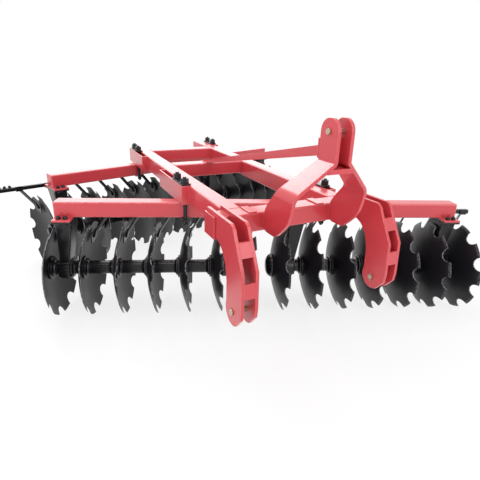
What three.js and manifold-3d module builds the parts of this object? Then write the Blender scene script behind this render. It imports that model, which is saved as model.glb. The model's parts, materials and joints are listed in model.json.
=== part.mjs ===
// Three-point-mounted offset disc harrow, in millimetres, +Z up.
// The hitch faces -Y. In the working frame Z = 0 is the ground, X = 0 the mast's centre plane
// and Y = 0 the front face of the front crossbeam. The finished group is then shifted so that
// the origin lies on the ground under the middle of the machine.

import * as THREE from 'three';
import { mergeVertices } from 'three/addons/utils/BufferGeometryUtils.js';
import Module from 'manifold-3d';

const wasm = await Module();
wasm.setup();

// ---------------------------------------------------------------- driving dimensions

const GAP = 0.3; // between pieces that touch
const RUNNING_GAP = 0.6; // between an axle and its bearing
const PIN_GAP = 0.5; // between a pin and its hole

const DISC = {
  radius: 305,
  thickness: 6,
  dish: 67, // how far the rim stands ahead of the flat middle
  flatRadius: 80,
  middleRadius: 190, // a ring that bends the dish halfway out
  notches: 10,
  notchRadius: 46, // each notch is an arc centred on the rim
  phases: [0, 12, 24], // degrees, the turn of each disc against its neighbours
};
const PITCH = 210; // from disc to disc along the axle
const AXLE = { square: 40, tubeRadius: 44, flangeRadius: 75, flangeEdge: 10, flangeTaper: 20 };
const BELL = { radius: 80, length: 60 };
const END_NUT = { washerRadius: 60, washer: 14, radius: 28, length: 34 };

const GANG_TUBE = 100;
const DISC_HEADROOM = 60; // between the discs and the underside of a gang beam
const PAD = { length: 110, width: 216, thickness: 12 };
const HANGER = { topLength: 100, topDepth: 150, footLength: 52, footDepth: 100, lean: 30 };
const HOUSING = { radius: 72, length: 90, sides: 12 };

// Each row runs along its own beam from the beam's left end. `discs` counts the discs of its
// left and right gangs, and `facing` is the side that their hollows face along the beam. The
// first and last discs stand `overhang` beyond the beam's ends, and the scraper bar ends
// `barBeyond` its outer arms.
const FRONT_ROW = {
  left: [-1130, 1002], degrees: -22, discs: [7, 7], facing: 1, overhang: [80, 20],
  barBeyond: [30, 45],
};
const REAR_ROW = {
  left: [-1145, 1740], degrees: 17.2, discs: [7, 6], facing: -1, overhang: [20, 58],
  barBeyond: [150, 30],
};

const LONG_TUBE = { width: 104, height: 120, outerX: 390, tails: { left: 15, right: 30 } };
const CROSS_TUBE = { depth: 110, height: 100 };
const FRONT_CROSS_HALF = 476.5;
const END_CAP = { thickness: 10, lip: 6 };
const MIDDLE_CROSS_Y = 1227;
const REAR_CROSS_Y = 1891;

// How far each pocket on the longitudinals runs [ahead of, behind] the clamp that it holds.
const BRACKET = { reach: 48, wall: 10 };
const POCKETS = {
  left: { front: [5, 305], rear: [240, 70] },
  right: { front: [55, 55], rear: [55, 55] },
};
const CLAMP = { legRadius: 11, legGap: 8, plate: 10, overlap: 22, margin: 5, lap: 16 };

// Heights on the mast and the clevises are measured up from the top of the frame.
const MAST = {
  slot: 58, plate: 18, cheekFront: -295, cheekBack: -175, pin: 420, bend: 285,
  footX: 207, footBend: 132, gussetLift: 5,
};
const MAST_PIN_RADIUS = 13;
const BRACE = { size: 50, plate: 10, plateHeight: 90, plateLift: 10, top: 355 };

const CLEVIS = {
  inner: 387, slot: 54, plate: 17, rise: 27, pinY: -200, pin: -390, noseRadius: 70,
  front: [[-282, -392], [-288, -345], [-281, -168], [-184, 11]],
  straps: [[-290, -216], [-107, -47]], strap: 14,
};
const CLEVIS_PIN_RADIUS = 14;

const SCRAPER = {
  bar: 30, barY: 150, barDrop: 15, clearance: 12, armWidth: 32, arm: 10, lean: 100,
  blade: 70, inset: 92, bladeAngle: 62,
};

// ---------------------------------------------------------------- derived sizes

const AXLE_Z = DISC.radius;
const BEAM_BOTTOM = 2 * DISC.radius + DISC_HEADROOM;
const BEAM_TOP = BEAM_BOTTOM + GANG_TUBE;
const FRAME_BOTTOM = BEAM_TOP + GAP;
const FRAME_TOP = FRAME_BOTTOM + LONG_TUBE.height;
const CROSS_BOTTOM = FRAME_TOP - CROSS_TUBE.height;
const LONG_INNER_X = LONG_TUBE.outerX - LONG_TUBE.width;
const CLAMP_X = LONG_TUBE.outerX + (BRACKET.reach - BRACKET.wall) / 2;
const MAST_PIN_Z = FRAME_TOP + MAST.pin;
const MAST_BEND_Z = FRAME_TOP + MAST.bend;
const MAST_FOOT_Z = FRAME_TOP + MAST.footBend;
const CLEVIS_PIN_Z = FRAME_TOP + CLEVIS.pin;

// ---------------------------------------------------------------- finishes

const paint = new THREE.MeshStandardMaterial({ color: 0xc8323c, roughness: 0.45, metalness: 0 });
const black = new THREE.MeshStandardMaterial({ color: 0x222226, roughness: 0.5, metalness: 0.2 });
const steel = new THREE.MeshStandardMaterial({ color: 0x9c9a90, roughness: 0.35, metalness: 0.9 });

// ---------------------------------------------------------------- shapes

/** Turns a closed geometry into a solid, dropping triangles that have no area. */
function solid(geometry) {
  const bare = new THREE.BufferGeometry();
  bare.setAttribute('position', geometry.getAttribute('position').clone());
  if (geometry.index) bare.setIndex(geometry.index.clone());
  const merged = mergeVertices(bare, 1e-3);
  const index = merged.index.array;
  const triangles = [];
  for (let i = 0; i < index.length; i += 3) {
    const [a, b, c] = [index[i], index[i + 1], index[i + 2]];
    if (a !== b && b !== c && c !== a) triangles.push(a, b, c);
  }
  return new wasm.Manifold(new wasm.Mesh({
    numProp: 3,
    vertProperties: Float32Array.from(merged.getAttribute('position').array),
    triVerts: Uint32Array.from(triangles),
  }));
}

/** Joins solids into one. */
function join(...solids) {
  return solids.reduce((whole, next) => whole.add(next));
}

/** A named mesh of a solid, with the given finish. */
function piece(name, body, material) {
  const result = body.getMesh();
  const geometry = new THREE.BufferGeometry();
  geometry.setAttribute('position', new THREE.BufferAttribute(result.vertProperties, 3));
  geometry.setIndex(new THREE.BufferAttribute(result.triVerts, 1));
  geometry.computeVertexNormals();
  const mesh = new THREE.Mesh(geometry, material);
  mesh.name = name;
  return mesh;
}

/** An upright box between two corners. */
function box(x0, x1, y0, y1, z0, z1) {
  const geometry = new THREE.BoxGeometry(x1 - x0, y1 - y0, z1 - z0);
  return solid(geometry.translate((x0 + x1) / 2, (y0 + y1) / 2, (z0 + z1) / 2));
}

/** A round bar from one point to another. */
function rod(radius, from, to, sides = 12) {
  const start = new THREE.Vector3(...from);
  const span = new THREE.Vector3(...to).sub(start);
  const geometry = new THREE.CylinderGeometry(radius, radius, span.length(), sides);
  const turn = new THREE.Quaternion().setFromUnitVectors(
    new THREE.Vector3(0, 1, 0), span.clone().normalize());
  geometry.applyQuaternion(turn);
  const middle = start.addScaledVector(span, 0.5);
  return solid(geometry.translate(middle.x, middle.y, middle.z));
}

/** A flat bar from one point to another: its width lies along `across` as near as it can. */
function flatBar(from, to, width, thickness, across) {
  const start = new THREE.Vector3(...from);
  const span = new THREE.Vector3(...to).sub(start);
  const along = span.clone().normalize();
  const face = new THREE.Vector3().crossVectors(along, new THREE.Vector3(...across)).normalize();
  const side = new THREE.Vector3().crossVectors(face, along);
  const geometry = new THREE.BoxGeometry(span.length(), width, thickness);
  const middle = start.addScaledVector(span, 0.5);
  geometry.applyMatrix4(new THREE.Matrix4().makeBasis(along, side, face).setPosition(middle));
  return solid(geometry);
}

/** A plate in the Y-Z plane: an outline of [y, z] points, from x0 to x1. */
function sidePlate(outline, x0, x1) {
  const shape = new THREE.Shape(outline.map(([y, z]) => new THREE.Vector2(y, z)));
  const geometry = new THREE.ExtrudeGeometry(shape, { depth: x1 - x0, bevelEnabled: false });
  geometry.applyMatrix4(new THREE.Matrix4().makeBasis(
    new THREE.Vector3(0, 1, 0), new THREE.Vector3(0, 0, 1), new THREE.Vector3(1, 0, 0)));
  return solid(geometry.translate(x0, 0, 0));
}

/** Points of an arc in degrees around [y, z]. */
function arc([y, z], radius, from, to, steps) {
  return Array.from({ length: steps + 1 }, (_, i) => {
    const angle = THREE.MathUtils.degToRad(from + ((to - from) * i) / steps);
    return [y + radius * Math.cos(angle), z + radius * Math.sin(angle)];
  });
}

/** A ring of points around the X axis: {angle, radius} pairs at one x each. */
function roundRing(x, radius, sides) {
  const start = Math.PI / sides;
  return Array.from({ length: sides }, (_, i) => (
    { x, radius, angle: start + (2 * Math.PI * i) / sides }));
}

/** Triangles between two rings around the X axis, whatever their numbers of points. */
function zip(first, second, firstAt, secondAt) {
  const angleOf = (ring, i) => ring[i % ring.length].angle + (i >= ring.length ? 2 * Math.PI : 0);
  const faces = [];
  let i = 0;
  let j = 0;
  while (i < first.length || j < second.length) {
    const a = firstAt + (i % first.length);
    const b = secondAt + (j % second.length);
    const stepFirst = j >= second.length
      || (i < first.length && angleOf(first, i + 1) <= angleOf(second, j + 1));
    if (stepFirst) {
      i += 1;
      faces.push(a, firstAt + (i % first.length), b);
    } else {
      j += 1;
      faces.push(a, secondAt + (j % second.length), b);
    }
  }
  return faces;
}

/** A solid through rings around the X axis; `looped` joins the last ring to the first. */
function loft(rings, looped = false) {
  const points = [];
  const starts = rings.map((ring) => {
    const at = points.length / 3;
    ring.forEach(({ x, radius, angle }) => {
      points.push(x, radius * Math.cos(angle), radius * Math.sin(angle));
    });
    return at;
  });
  const faces = [];
  for (let i = 0; i + 1 < rings.length; i += 1) {
    faces.push(...zip(rings[i], rings[i + 1], starts[i], starts[i + 1]));
  }
  const last = rings.length - 1;
  if (looped) {
    faces.push(...zip(rings[last], rings[0], starts[last], starts[0]));
  } else {
    for (let i = 1; i + 1 < rings[0].length; i += 1) {
      faces.push(starts[0], starts[0] + i + 1, starts[0] + i);
    }
    for (let i = 1; i + 1 < rings[last].length; i += 1) {
      faces.push(starts[last], starts[last] + i, starts[last] + i + 1);
    }
  }
  const geometry = new THREE.BufferGeometry();
  geometry.setAttribute('position', new THREE.Float32BufferAttribute(points, 3));
  geometry.setIndex(faces);
  return solid(geometry);
}

// ---------------------------------------------------------------- discs and axles

/** How far a disc's face stands ahead of its flat middle at a radius. */
function dishAt(radius) {
  const { dish, flatRadius } = DISC;
  return (dish * (radius ** 2 - flatRadius ** 2)) / (DISC.radius ** 2 - flatRadius ** 2);
}

/** The notched outline of a disc, as a ring around the X axis: `xAt` gives x at a radius. */
function discOutline(xAt, phase) {
  const half = Math.asin(DISC.notchRadius / 2 / DISC.radius);
  const lip = Math.PI / 2 - half;
  const turn = (2 * Math.PI) / DISC.notches;
  const bottom = -Math.PI / 2 + THREE.MathUtils.degToRad(phase);
  const ring = [];
  for (let n = 0; n < DISC.notches; n += 1) {
    const tooth = bottom + n * turn;
    ring.push({ x: xAt(DISC.radius), radius: DISC.radius, angle: tooth });
    [-lip, -lip / 3, lip / 3, lip].forEach((swing) => {
      const out = DISC.radius - DISC.notchRadius * Math.cos(swing);
      const along = DISC.notchRadius * Math.sin(swing);
      const radius = Math.hypot(out, along);
      ring.push({ x: xAt(radius), radius, angle: tooth + turn / 2 + Math.atan2(along, out) });
    });
  }
  const full = 2 * Math.PI;
  ring.forEach((point) => { point.angle = ((point.angle % full) + full) % full; });
  return ring.sort((one, other) => one.angle - other.angle);
}

/** A dished, notched disc whose hollow side faces `facing` along X. */
function disc(phase, facing) {
  const holeRadius = (AXLE.square / 2 + PIN_GAP) * Math.SQRT2;
  const ringsFrom = (face) => {
    const xAt = (radius) => facing * (face + dishAt(radius));
    return [
      roundRing(facing * face, holeRadius, 4),
      roundRing(facing * face, DISC.flatRadius, 10),
      roundRing(xAt(DISC.middleRadius), DISC.middleRadius, 20),
      discOutline(xAt, phase),
    ];
  };
  const rings = [...ringsFrom(0), ...ringsFrom(DISC.thickness).reverse()];
  return loft(facing > 0 ? rings : rings.reverse(), true);
}

/** The square axle with its spools, its bell and its end nut, for a number of discs. */
function axle(count, facing) {
  const sides = 10;
  const square = (x) => roundRing(x, (AXLE.square / 2) * Math.SQRT2, 4);
  const round = (x, radius) => roundRing(x, radius, sides);
  const rings = [
    round(-BELL.length, BELL.radius * 0.4),
    round(-BELL.length * 0.75, BELL.radius * 0.78),
    round(-BELL.length * 0.3, BELL.radius),
    round(-GAP, BELL.radius),
  ];
  for (let i = 0; i < count; i += 1) {
    const face = i * PITCH + DISC.thickness + GAP;
    rings.push(square(i * PITCH - GAP), square(face));
    if (i + 1 < count) {
      const next = (i + 1) * PITCH - GAP;
      const taper = AXLE.flangeEdge + AXLE.flangeTaper;
      rings.push(
        round(face, AXLE.flangeRadius),
        round(face + AXLE.flangeEdge, AXLE.flangeRadius),
        round(face + taper, AXLE.tubeRadius),
        round(next - taper, AXLE.tubeRadius),
        round(next - AXLE.flangeEdge, AXLE.flangeRadius),
        round(next, AXLE.flangeRadius),
      );
    }
  }
  const end = (count - 1) * PITCH + DISC.thickness + GAP;
  rings.push(
    round(end, END_NUT.washerRadius),
    round(end + END_NUT.washer, END_NUT.washerRadius),
    round(end + END_NUT.washer, END_NUT.radius),
    round(end + END_NUT.washer + END_NUT.length, END_NUT.radius),
  );
  if (facing > 0) return loft(rings);
  const mirrored = rings.map((ring) => ring.map((point) => ({ ...point, x: -point.x })));
  return loft(mirrored.reverse());
}

// ---------------------------------------------------------------- hangers and scrapers

/** A four-sided post between two level rectangles, each {x, y, z, length, depth}. */
function taperedPost(foot, top) {
  const corners = [foot, top].flatMap(({ x, y, z, length, depth }) => (
    [[-1, -1], [1, -1], [1, 1], [-1, 1]].map(([sx, sy]) => (
      [x + (sx * length) / 2, y + (sy * depth) / 2, z]))));
  const faces = [0, 2, 1, 0, 3, 2, 4, 5, 6, 4, 6, 7];
  for (let i = 0; i < 4; i += 1) {
    const j = (i + 1) % 4;
    faces.push(i, j, j + 4, i, j + 4, i + 4);
  }
  const geometry = new THREE.BufferGeometry();
  geometry.setAttribute('position', new THREE.Float32BufferAttribute(corners.flat(), 3));
  geometry.setIndex(faces);
  return solid(geometry);
}

/** A bearing hanger: flange, leaning post and housing around the axle at x. */
function hanger(x, facing) {
  const flangeX = x + facing * HANGER.lean;
  const flangeTop = BEAM_BOTTOM - PAD.thickness - GAP;
  const flangeFoot = flangeTop - PAD.thickness;
  const flange = box(flangeX - PAD.length / 2, flangeX + PAD.length / 2,
    -PAD.width / 2, PAD.width / 2, flangeFoot, flangeTop);
  const post = taperedPost(
    { x, y: 0, z: AXLE_Z, length: HANGER.footLength, depth: HANGER.footDepth },
    { x: flangeX, y: 0, z: flangeFoot + 1, length: HANGER.topLength, depth: HANGER.topDepth },
  );
  const half = HOUSING.length / 2;
  const housing = rod(HOUSING.radius, [x - half, 0, AXLE_Z], [x + half, 0, AXLE_Z],
    HOUSING.sides);
  const bore = rod((AXLE.tubeRadius + RUNNING_GAP) / Math.cos(Math.PI / HOUSING.sides),
    [x - half - 1, 0, AXLE_Z], [x + half + 1, 0, AXLE_Z], HOUSING.sides);
  return join(flange, post, housing).subtract(bore);
}

/** A gang beam with the pads that its hangers bolt to. */
function gangBeam(length, hangerXs, facing) {
  const half = GANG_TUBE / 2;
  const pads = hangerXs.map((x) => {
    const middle = x + facing * HANGER.lean;
    return box(middle - PAD.length / 2, middle + PAD.length / 2,
      -PAD.width / 2, PAD.width / 2, BEAM_BOTTOM - PAD.thickness, BEAM_BOTTOM + 1);
  });
  return join(box(0, length, -half, half, BEAM_BOTTOM, BEAM_TOP), ...pads);
}

/** The scraper bar behind a gang beam, with an arm and a blade for each disc. */
function scrapers(discXs, beam, row) {
  const { facing, barBeyond } = row;
  const { bar, barY, arm, armWidth, blade } = SCRAPER;
  const half = bar / 2;
  const barZ = BEAM_BOTTOM - SCRAPER.barDrop;
  const off = DISC.thickness + SCRAPER.clearance + arm / 2;
  const ahead = (y, z) => facing * (off + dishAt(Math.hypot(y, z - AXLE_Z)));
  const reach = DISC.radius - SCRAPER.inset;
  const angle = THREE.MathUtils.degToRad(SCRAPER.bladeAngle);
  const [midY, midZ] = [reach * Math.cos(angle), AXLE_Z + reach * Math.sin(angle)];
  const [low, high] = [[midY + blade * 0.35, midZ - blade * 0.6],
    [midY - blade * 0.35, midZ + blade * 0.5]];
  const side = blade / 3;
  const across = [ahead(midY + side, midZ + side) - ahead(midY, midZ), side, side];
  const lean = ahead(midY, midZ) + facing * (arm + SCRAPER.lean);
  const armXs = discXs.map((x) => x + lean);
  const parts = [box(armXs[0] - barBeyond[0], armXs[armXs.length - 1] + barBeyond[1],
    barY - half, barY + half, barZ - half, barZ + half)];
  discXs.forEach((x, i) => {
    parts.push(
      flatBar([x + ahead(midY, midZ) + facing * arm * 0.8, midY - 4, midZ - 10],
        [armXs[i], barY, barZ], armWidth, arm, [0, 1, -1]),
      flatBar([x + ahead(...low), ...low], [x + ahead(...high), ...high], blade, arm, across),
    );
  });
  const clampXs = [-1, 1].map((side) => alongBeam(row, side * CLAMP_X));
  const posts = [clampXs[0] / 2, (clampXs[0] + clampXs[1]) / 2, (clampXs[1] + beam) / 2];
  posts.forEach((x) => {
    parts.push(
      box(x - 25, x + 25, GANG_TUBE / 2 + GAP, barY, barZ + half - 12, barZ + half),
      box(x - 25, x + 25, GANG_TUBE / 2 + GAP, GANG_TUBE / 2 + 10, barZ + half - 12,
        BEAM_BOTTOM + 60),
    );
  });
  return join(...parts);
}

/** Adds one row of discs, with its beam, hangers, axles and scrapers. */
function addRow(harrow, label, row) {
  const group = new THREE.Group();
  group.position.set(row.left[0], row.left[1], 0);
  group.rotation.z = THREE.MathUtils.degToRad(row.degrees);
  const total = row.discs[0] + row.discs[1];
  const discXs = Array.from({ length: total }, (_, i) => i * PITCH - row.overhang[0]);
  const beam = discXs[total - 1] - row.overhang[1];
  const bearingXs = [];
  let placed = 0;
  ['left', 'right'].forEach((side, gang) => {
    const count = row.discs[gang];
    const own = discXs.slice(placed, placed + count);
    own.forEach((x, i) => {
      const phase = DISC.phases[(placed + i) % DISC.phases.length];
      const mesh = piece(`${label}_disc_${placed + i + 1}`, disc(phase, row.facing), black);
      mesh.position.set(x, 0, AXLE_Z);
      group.add(mesh);
    });
    const start = row.facing > 0 ? own[0] : own[count - 1];
    const spindle = piece(`${label}_${side}_axle`, axle(count, row.facing), black);
    spindle.position.set(start, 0, AXLE_Z);
    group.add(spindle);
    const half = (row.facing * (PITCH + DISC.thickness)) / 2;
    const base = row.facing > 0 ? own : own.slice(1);
    [base[0] + half, base[count - 2] + half].forEach((x, i) => {
      bearingXs.push(x);
      const end = i === 0 ? 'outer' : 'inner';
      group.add(piece(`${label}_${side}_hanger_${side === 'left' ? end : flip(end)}`,
        hanger(x, row.facing), black));
    });
    placed += count;
  });
  group.add(piece(`${label}_gang_beam`, gangBeam(beam, bearingXs, row.facing), paint));
  group.add(piece(`${label}_scrapers`, scrapers(discXs, beam, row), black));
  harrow.add(group);
}

/** Outer for inner and inner for outer. */
function flip(end) {
  return end === 'outer' ? 'inner' : 'outer';
}

// ---------------------------------------------------------------- frame

/** Where a row's beam crosses a clamp, as the Y of its centre line at x. */
function crossingY(row, x) {
  return row.left[1] + (x - row.left[0]) * Math.tan(THREE.MathUtils.degToRad(row.degrees));
}

/** How far along a row's beam it crosses the plane at x. */
function alongBeam(row, x) {
  return (x - row.left[0]) / Math.cos(THREE.MathUtils.degToRad(row.degrees));
}

/** An open pocket on the outside of a longitudinal, for a gang clamp. */
function bracket(side, y0, y1) {
  const { reach, wall } = BRACKET;
  const inner = LONG_TUBE.outerX - 1;
  const outer = LONG_TUBE.outerX + reach;
  const across = (a, b) => (side > 0 ? [a, b] : [-b, -a]);
  const top = FRAME_TOP;
  return join(
    box(...across(outer - wall, outer), y0, y1, FRAME_BOTTOM, top),
    box(...across(inner, outer), y0, y0 + wall, FRAME_BOTTOM, top),
    box(...across(inner, outer), y1 - wall, y1, FRAME_BOTTOM, top),
  );
}

/** How far a clamp's legs and its plates reach along Y from the middle of the beam. */
function clampReach(row) {
  const slant = Math.cos(THREE.MathUtils.degToRad(row.degrees));
  const legs = GANG_TUBE / 2 / slant + CLAMP.legRadius + CLAMP.legGap;
  return { legs, plates: legs + CLAMP.overlap };
}

/** A longitudinal with its two pockets, ending past the rear one. */
function longitudinal(name, side) {
  const pockets = [[FRONT_ROW, POCKETS[name].front], [REAR_ROW, POCKETS[name].rear]];
  const spans = pockets.map(([row, [ahead, behind]]) => {
    const crossing = crossingY(row, side * CLAMP_X);
    const { plates } = clampReach(row);
    return [crossing - plates - ahead, crossing + plates + behind];
  });
  const end = spans[1][1] + LONG_TUBE.tails[name];
  const edges = [side * LONG_INNER_X, side * LONG_TUBE.outerX].sort((a, b) => a - b);
  const tube = box(...edges, CROSS_TUBE.depth + GAP, end, FRAME_BOTTOM, FRAME_TOP);
  return join(tube, ...spans.map(([y0, y1]) => bracket(side, y0, y1)));
}

/** A gang clamp: a plate on the pocket, two legs past the beam and a plate below it. */
function clamp(row, side) {
  const x = side * CLAMP_X;
  const y = crossingY(row, x);
  const { legs: legY, plates: halfY } = clampReach(row);
  const halfX = (BRACKET.reach - BRACKET.wall) / 2 + BRACKET.wall - 2;
  const foot = CLAMP.legRadius + CLAMP.margin;
  const top = FRAME_TOP + GAP;
  const bottom = BEAM_BOTTOM - GAP;
  const inset = (BRACKET.reach - BRACKET.wall) / 2 + CLAMP.lap;
  const across = side > 0 ? [x - inset, x + halfX] : [x - halfX, x + inset];
  return join(
    box(...across, y - halfY, y + halfY, top, top + CLAMP.plate),
    box(x - foot, x + foot, y - halfY, y + halfY, bottom - CLAMP.plate, bottom),
    ...[-legY, legY].map((dy) => (
      rod(CLAMP.legRadius, [x, y + dy, bottom - 1], [x, y + dy, top + 1], 8))),
  );
}

/** The front crossbeam, with a cap on each end. */
function frontCrossbeam() {
  const { thickness, lip } = END_CAP;
  const half = FRONT_CROSS_HALF;
  const cap = (x0, x1) => box(x0, x1, -lip, CROSS_TUBE.depth + lip,
    CROSS_BOTTOM - lip, FRAME_TOP + lip);
  return join(
    box(-half, half, 0, CROSS_TUBE.depth, CROSS_BOTTOM, FRAME_TOP),
    cap(-half - thickness, -half + 1),
    cap(half - 1, half + thickness),
  );
}

/** A crossbeam between the longitudinals, its front face at y. */
function innerCrossbeam(y) {
  const half = LONG_INNER_X - GAP;
  return box(-half, half, y, y + CROSS_TUBE.depth, CROSS_BOTTOM, FRAME_TOP);
}

// ---------------------------------------------------------------- mast

/** One mast leg: a cheek, a slanted run and a gusset, folded from one plate. */
function mastLeg(side) {
  const cheekX = MAST.slot / 2 + MAST.plate / 2;
  const middle = (MAST.cheekFront + MAST.cheekBack) / 2;
  const half = (MAST.cheekBack - MAST.cheekFront) / 2;
  const back = -GAP;
  const run = [
    ...[15, 45, 90].map((degrees) => {
      const angle = THREE.MathUtils.degToRad(degrees);
      const reach = half * Math.sin(angle);
      return [cheekX, MAST_PIN_Z + half * Math.cos(angle), middle - reach, middle + reach];
    }),
    [cheekX, MAST_BEND_Z, MAST.cheekFront, MAST.cheekBack],
    [MAST.footX, MAST_FOOT_Z, MAST.cheekFront + 46, MAST.cheekBack + 75],
    [MAST.footX, FRAME_TOP + 40, MAST.cheekFront + 66, back - 22],
    [MAST.footX, FRAME_TOP, MAST.cheekFront + 82, back],
    [MAST.footX, CROSS_BOTTOM + 60, MAST.cheekFront + 118, back],
    [MAST.footX, CROSS_BOTTOM + MAST.gussetLift + 10, MAST.cheekFront + 165, back],
    [MAST.footX, CROSS_BOTTOM + MAST.gussetLift, MAST.cheekFront + 185, back - 40],
  ];
  const normals = run.map((_, i) => {
    const [a, b] = [run[Math.max(i - 1, 0)], run[i]];
    const [c, d] = [run[i], run[Math.min(i + 1, run.length - 1)]];
    const first = new THREE.Vector2(-(b[1] - a[1]), b[0] - a[0]);
    const second = new THREE.Vector2(-(d[1] - c[1]), d[0] - c[0]);
    first.normalize();
    second.normalize();
    if (first.length() === 0) return second;
    if (second.length() === 0) return first;
    const mitre = first.clone().add(second).normalize();
    return mitre.multiplyScalar(1 / mitre.dot(first));
  });
  const points = run.flatMap(([x, z, y0, y1], i) => {
    const offset = normals[i].clone().multiplyScalar(MAST.plate / 2);
    return [
      [side * (x - offset.x), y0, z - offset.y], [side * (x + offset.x), y0, z + offset.y],
      [side * (x + offset.x), y1, z + offset.y], [side * (x - offset.x), y1, z - offset.y],
    ];
  });
  const faces = [0, 1, 2, 0, 2, 3];
  const last = points.length - 4;
  faces.push(last, last + 2, last + 1, last, last + 3, last + 2);
  for (let ring = 0; ring < last; ring += 4) {
    for (let i = 0; i < 4; i += 1) {
      const j = (i + 1) % 4;
      faces.push(ring + i, ring + 4 + i, ring + j, ring + j, ring + 4 + i, ring + 4 + j);
    }
  }
  if (side < 0) faces.reverse();
  const geometry = new THREE.BufferGeometry();
  geometry.setAttribute('position', new THREE.Float32BufferAttribute(points.flat(), 3));
  geometry.setIndex(faces);
  const reach = MAST.slot;
  const hole = rod(MAST_PIN_RADIUS + PIN_GAP, [-reach, middle, MAST_PIN_Z],
    [reach, middle, MAST_PIN_Z], 10);
  return solid(geometry).subtract(hole);
}

/** The pin across the mast's slot, with a head on the left. */
function topPin() {
  const y = (MAST.cheekFront + MAST.cheekBack) / 2;
  const outer = MAST.slot / 2 + MAST.plate + GAP;
  return join(
    rod(MAST_PIN_RADIUS, [-outer - 1, y, MAST_PIN_Z], [outer + 14, y, MAST_PIN_Z], 10),
    rod(MAST_PIN_RADIUS + 6, [-outer - 10, y, MAST_PIN_Z], [-outer, y, MAST_PIN_Z], 10),
  );
}

/** The tie between the two legs below the slot, shaped to their slant, with its web. */
function mastTie() {
  const slope = (MAST.footX - (MAST.slot + MAST.plate) / 2) / (MAST_BEND_Z - MAST_FOOT_Z);
  const wall = (MAST.plate / 2) * Math.hypot(1, slope) + 2 * GAP;
  const innerX = (z) => (MAST.slot + MAST.plate) / 2 + slope * (MAST_BEND_Z - z) - wall;
  const [top, foot] = [MAST_BEND_Z - 24, MAST_BEND_Z - 46];
  const [front, back] = [MAST.cheekFront + 8, MAST.cheekBack - 8];
  const level = (z) => ({
    x: 0, y: (front + back) / 2, z, length: 2 * innerX(z), depth: back - front,
  });
  const webHalf = MAST.slot / 2 - 5;
  const web = box(-webHalf, webHalf, back - 14, MAST.cheekBack + GAP + 1,
    foot, MAST_BEND_Z + 20);
  return join(taperedPost(level(foot), level(top)), web);
}

/** The brace from the back of the mast down to the middle crossbeam, with the mast's tie. */
function mastBrace() {
  const front = MAST.cheekBack + GAP;
  const half = MAST.slot / 2 + MAST.plate;
  const middle = FRAME_TOP + BRACE.top - BRACE.size / 2;
  const plateFoot = MAST_BEND_Z + BRACE.plateLift;
  const plate = box(-half, half, front, front + BRACE.plate,
    plateFoot, plateFoot + BRACE.plateHeight);
  const rearY = MIDDLE_CROSS_Y + CROSS_TUBE.depth;
  const bar = sidePlate([
    [front + 1, middle - BRACE.size / 2],
    [MIDDLE_CROSS_Y + 4, FRAME_TOP + GAP],
    [rearY - 12, FRAME_TOP + GAP],
    [rearY - 12, FRAME_TOP + GAP + 8],
    [front + 1, middle + BRACE.size / 2],
  ], -BRACE.size / 2, BRACE.size / 2);
  return join(plate, bar, mastTie());
}

// ---------------------------------------------------------------- lower hitch

/** The outline of a clevis plate, hooked over the front crossbeam. */
function clevisOutline() {
  const { rise, pinY, noseRadius, front } = CLEVIS;
  const top = FRAME_TOP + rise;
  const back = CROSS_TUBE.depth;
  return [
    [-GAP, CROSS_BOTTOM + 4],
    [-35, CROSS_BOTTOM - 6],
    [-75, CROSS_BOTTOM - 32],
    [-110, CROSS_BOTTOM - 84],
    [-130, CROSS_BOTTOM - 160],
    ...arc([pinY + 3, CLEVIS_PIN_Z], noseRadius, 20, -130, 6),
    ...front.map(([y, z]) => [y, FRAME_TOP + z]),
    [-160, top],
    [back, top],
    [back, FRAME_TOP + GAP],
    [-GAP, FRAME_TOP + GAP],
  ].reverse();
}

/** The point of a clevis plate's front edge at height z above the frame's top. */
function clevisFront(z) {
  const { front } = CLEVIS;
  const above = Math.max(1, front.findIndex(([, level]) => level >= z));
  const [[y0, z0], [y1, z1]] = [front[above - 1], front[above]];
  return [y0 + ((y1 - y0) * (z - z0)) / (z1 - z0), FRAME_TOP + z];
}

/** One lower hitch clevis, its inner plate at |x| = CLEVIS.inner. */
function clevis(side) {
  const { inner, slot, plate, pinY, strap } = CLEVIS;
  const outer = inner + 2 * plate + slot;
  const across = (a, b) => (side > 0 ? [a, b] : [-b, -a]);
  const outline = clevisOutline();
  const straps = CLEVIS.straps.map((ends) => {
    const [[lowY, lowZ], [highY, highZ]] = ends.map(clevisFront);
    return sidePlate([[lowY, lowZ], [lowY + strap, lowZ], [highY + strap, highZ],
      [highY, highZ]], ...across(inner + plate - 1, inner + plate + slot + 1));
  });
  const hole = rod(CLEVIS_PIN_RADIUS + PIN_GAP, [side * (inner - 1), pinY, CLEVIS_PIN_Z],
    [side * (outer + 1), pinY, CLEVIS_PIN_Z], 10);
  return join(
    sidePlate(outline, ...across(inner, inner + plate)),
    sidePlate(outline, ...across(outer - plate, outer)),
    ...straps,
  ).subtract(hole);
}

/** The pin through a lower clevis, with a head on the outside. */
function clevisPin(side) {
  const { inner, slot, plate, pinY } = CLEVIS;
  const outer = inner + 2 * plate + slot + GAP;
  const at = (x) => [side * x, pinY, CLEVIS_PIN_Z];
  return join(
    rod(CLEVIS_PIN_RADIUS, at(inner - 16), at(outer + 1), 10),
    rod(CLEVIS_PIN_RADIUS + 8, at(outer), at(outer + 9), 10),
  );
}

// ---------------------------------------------------------------- assembly

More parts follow.
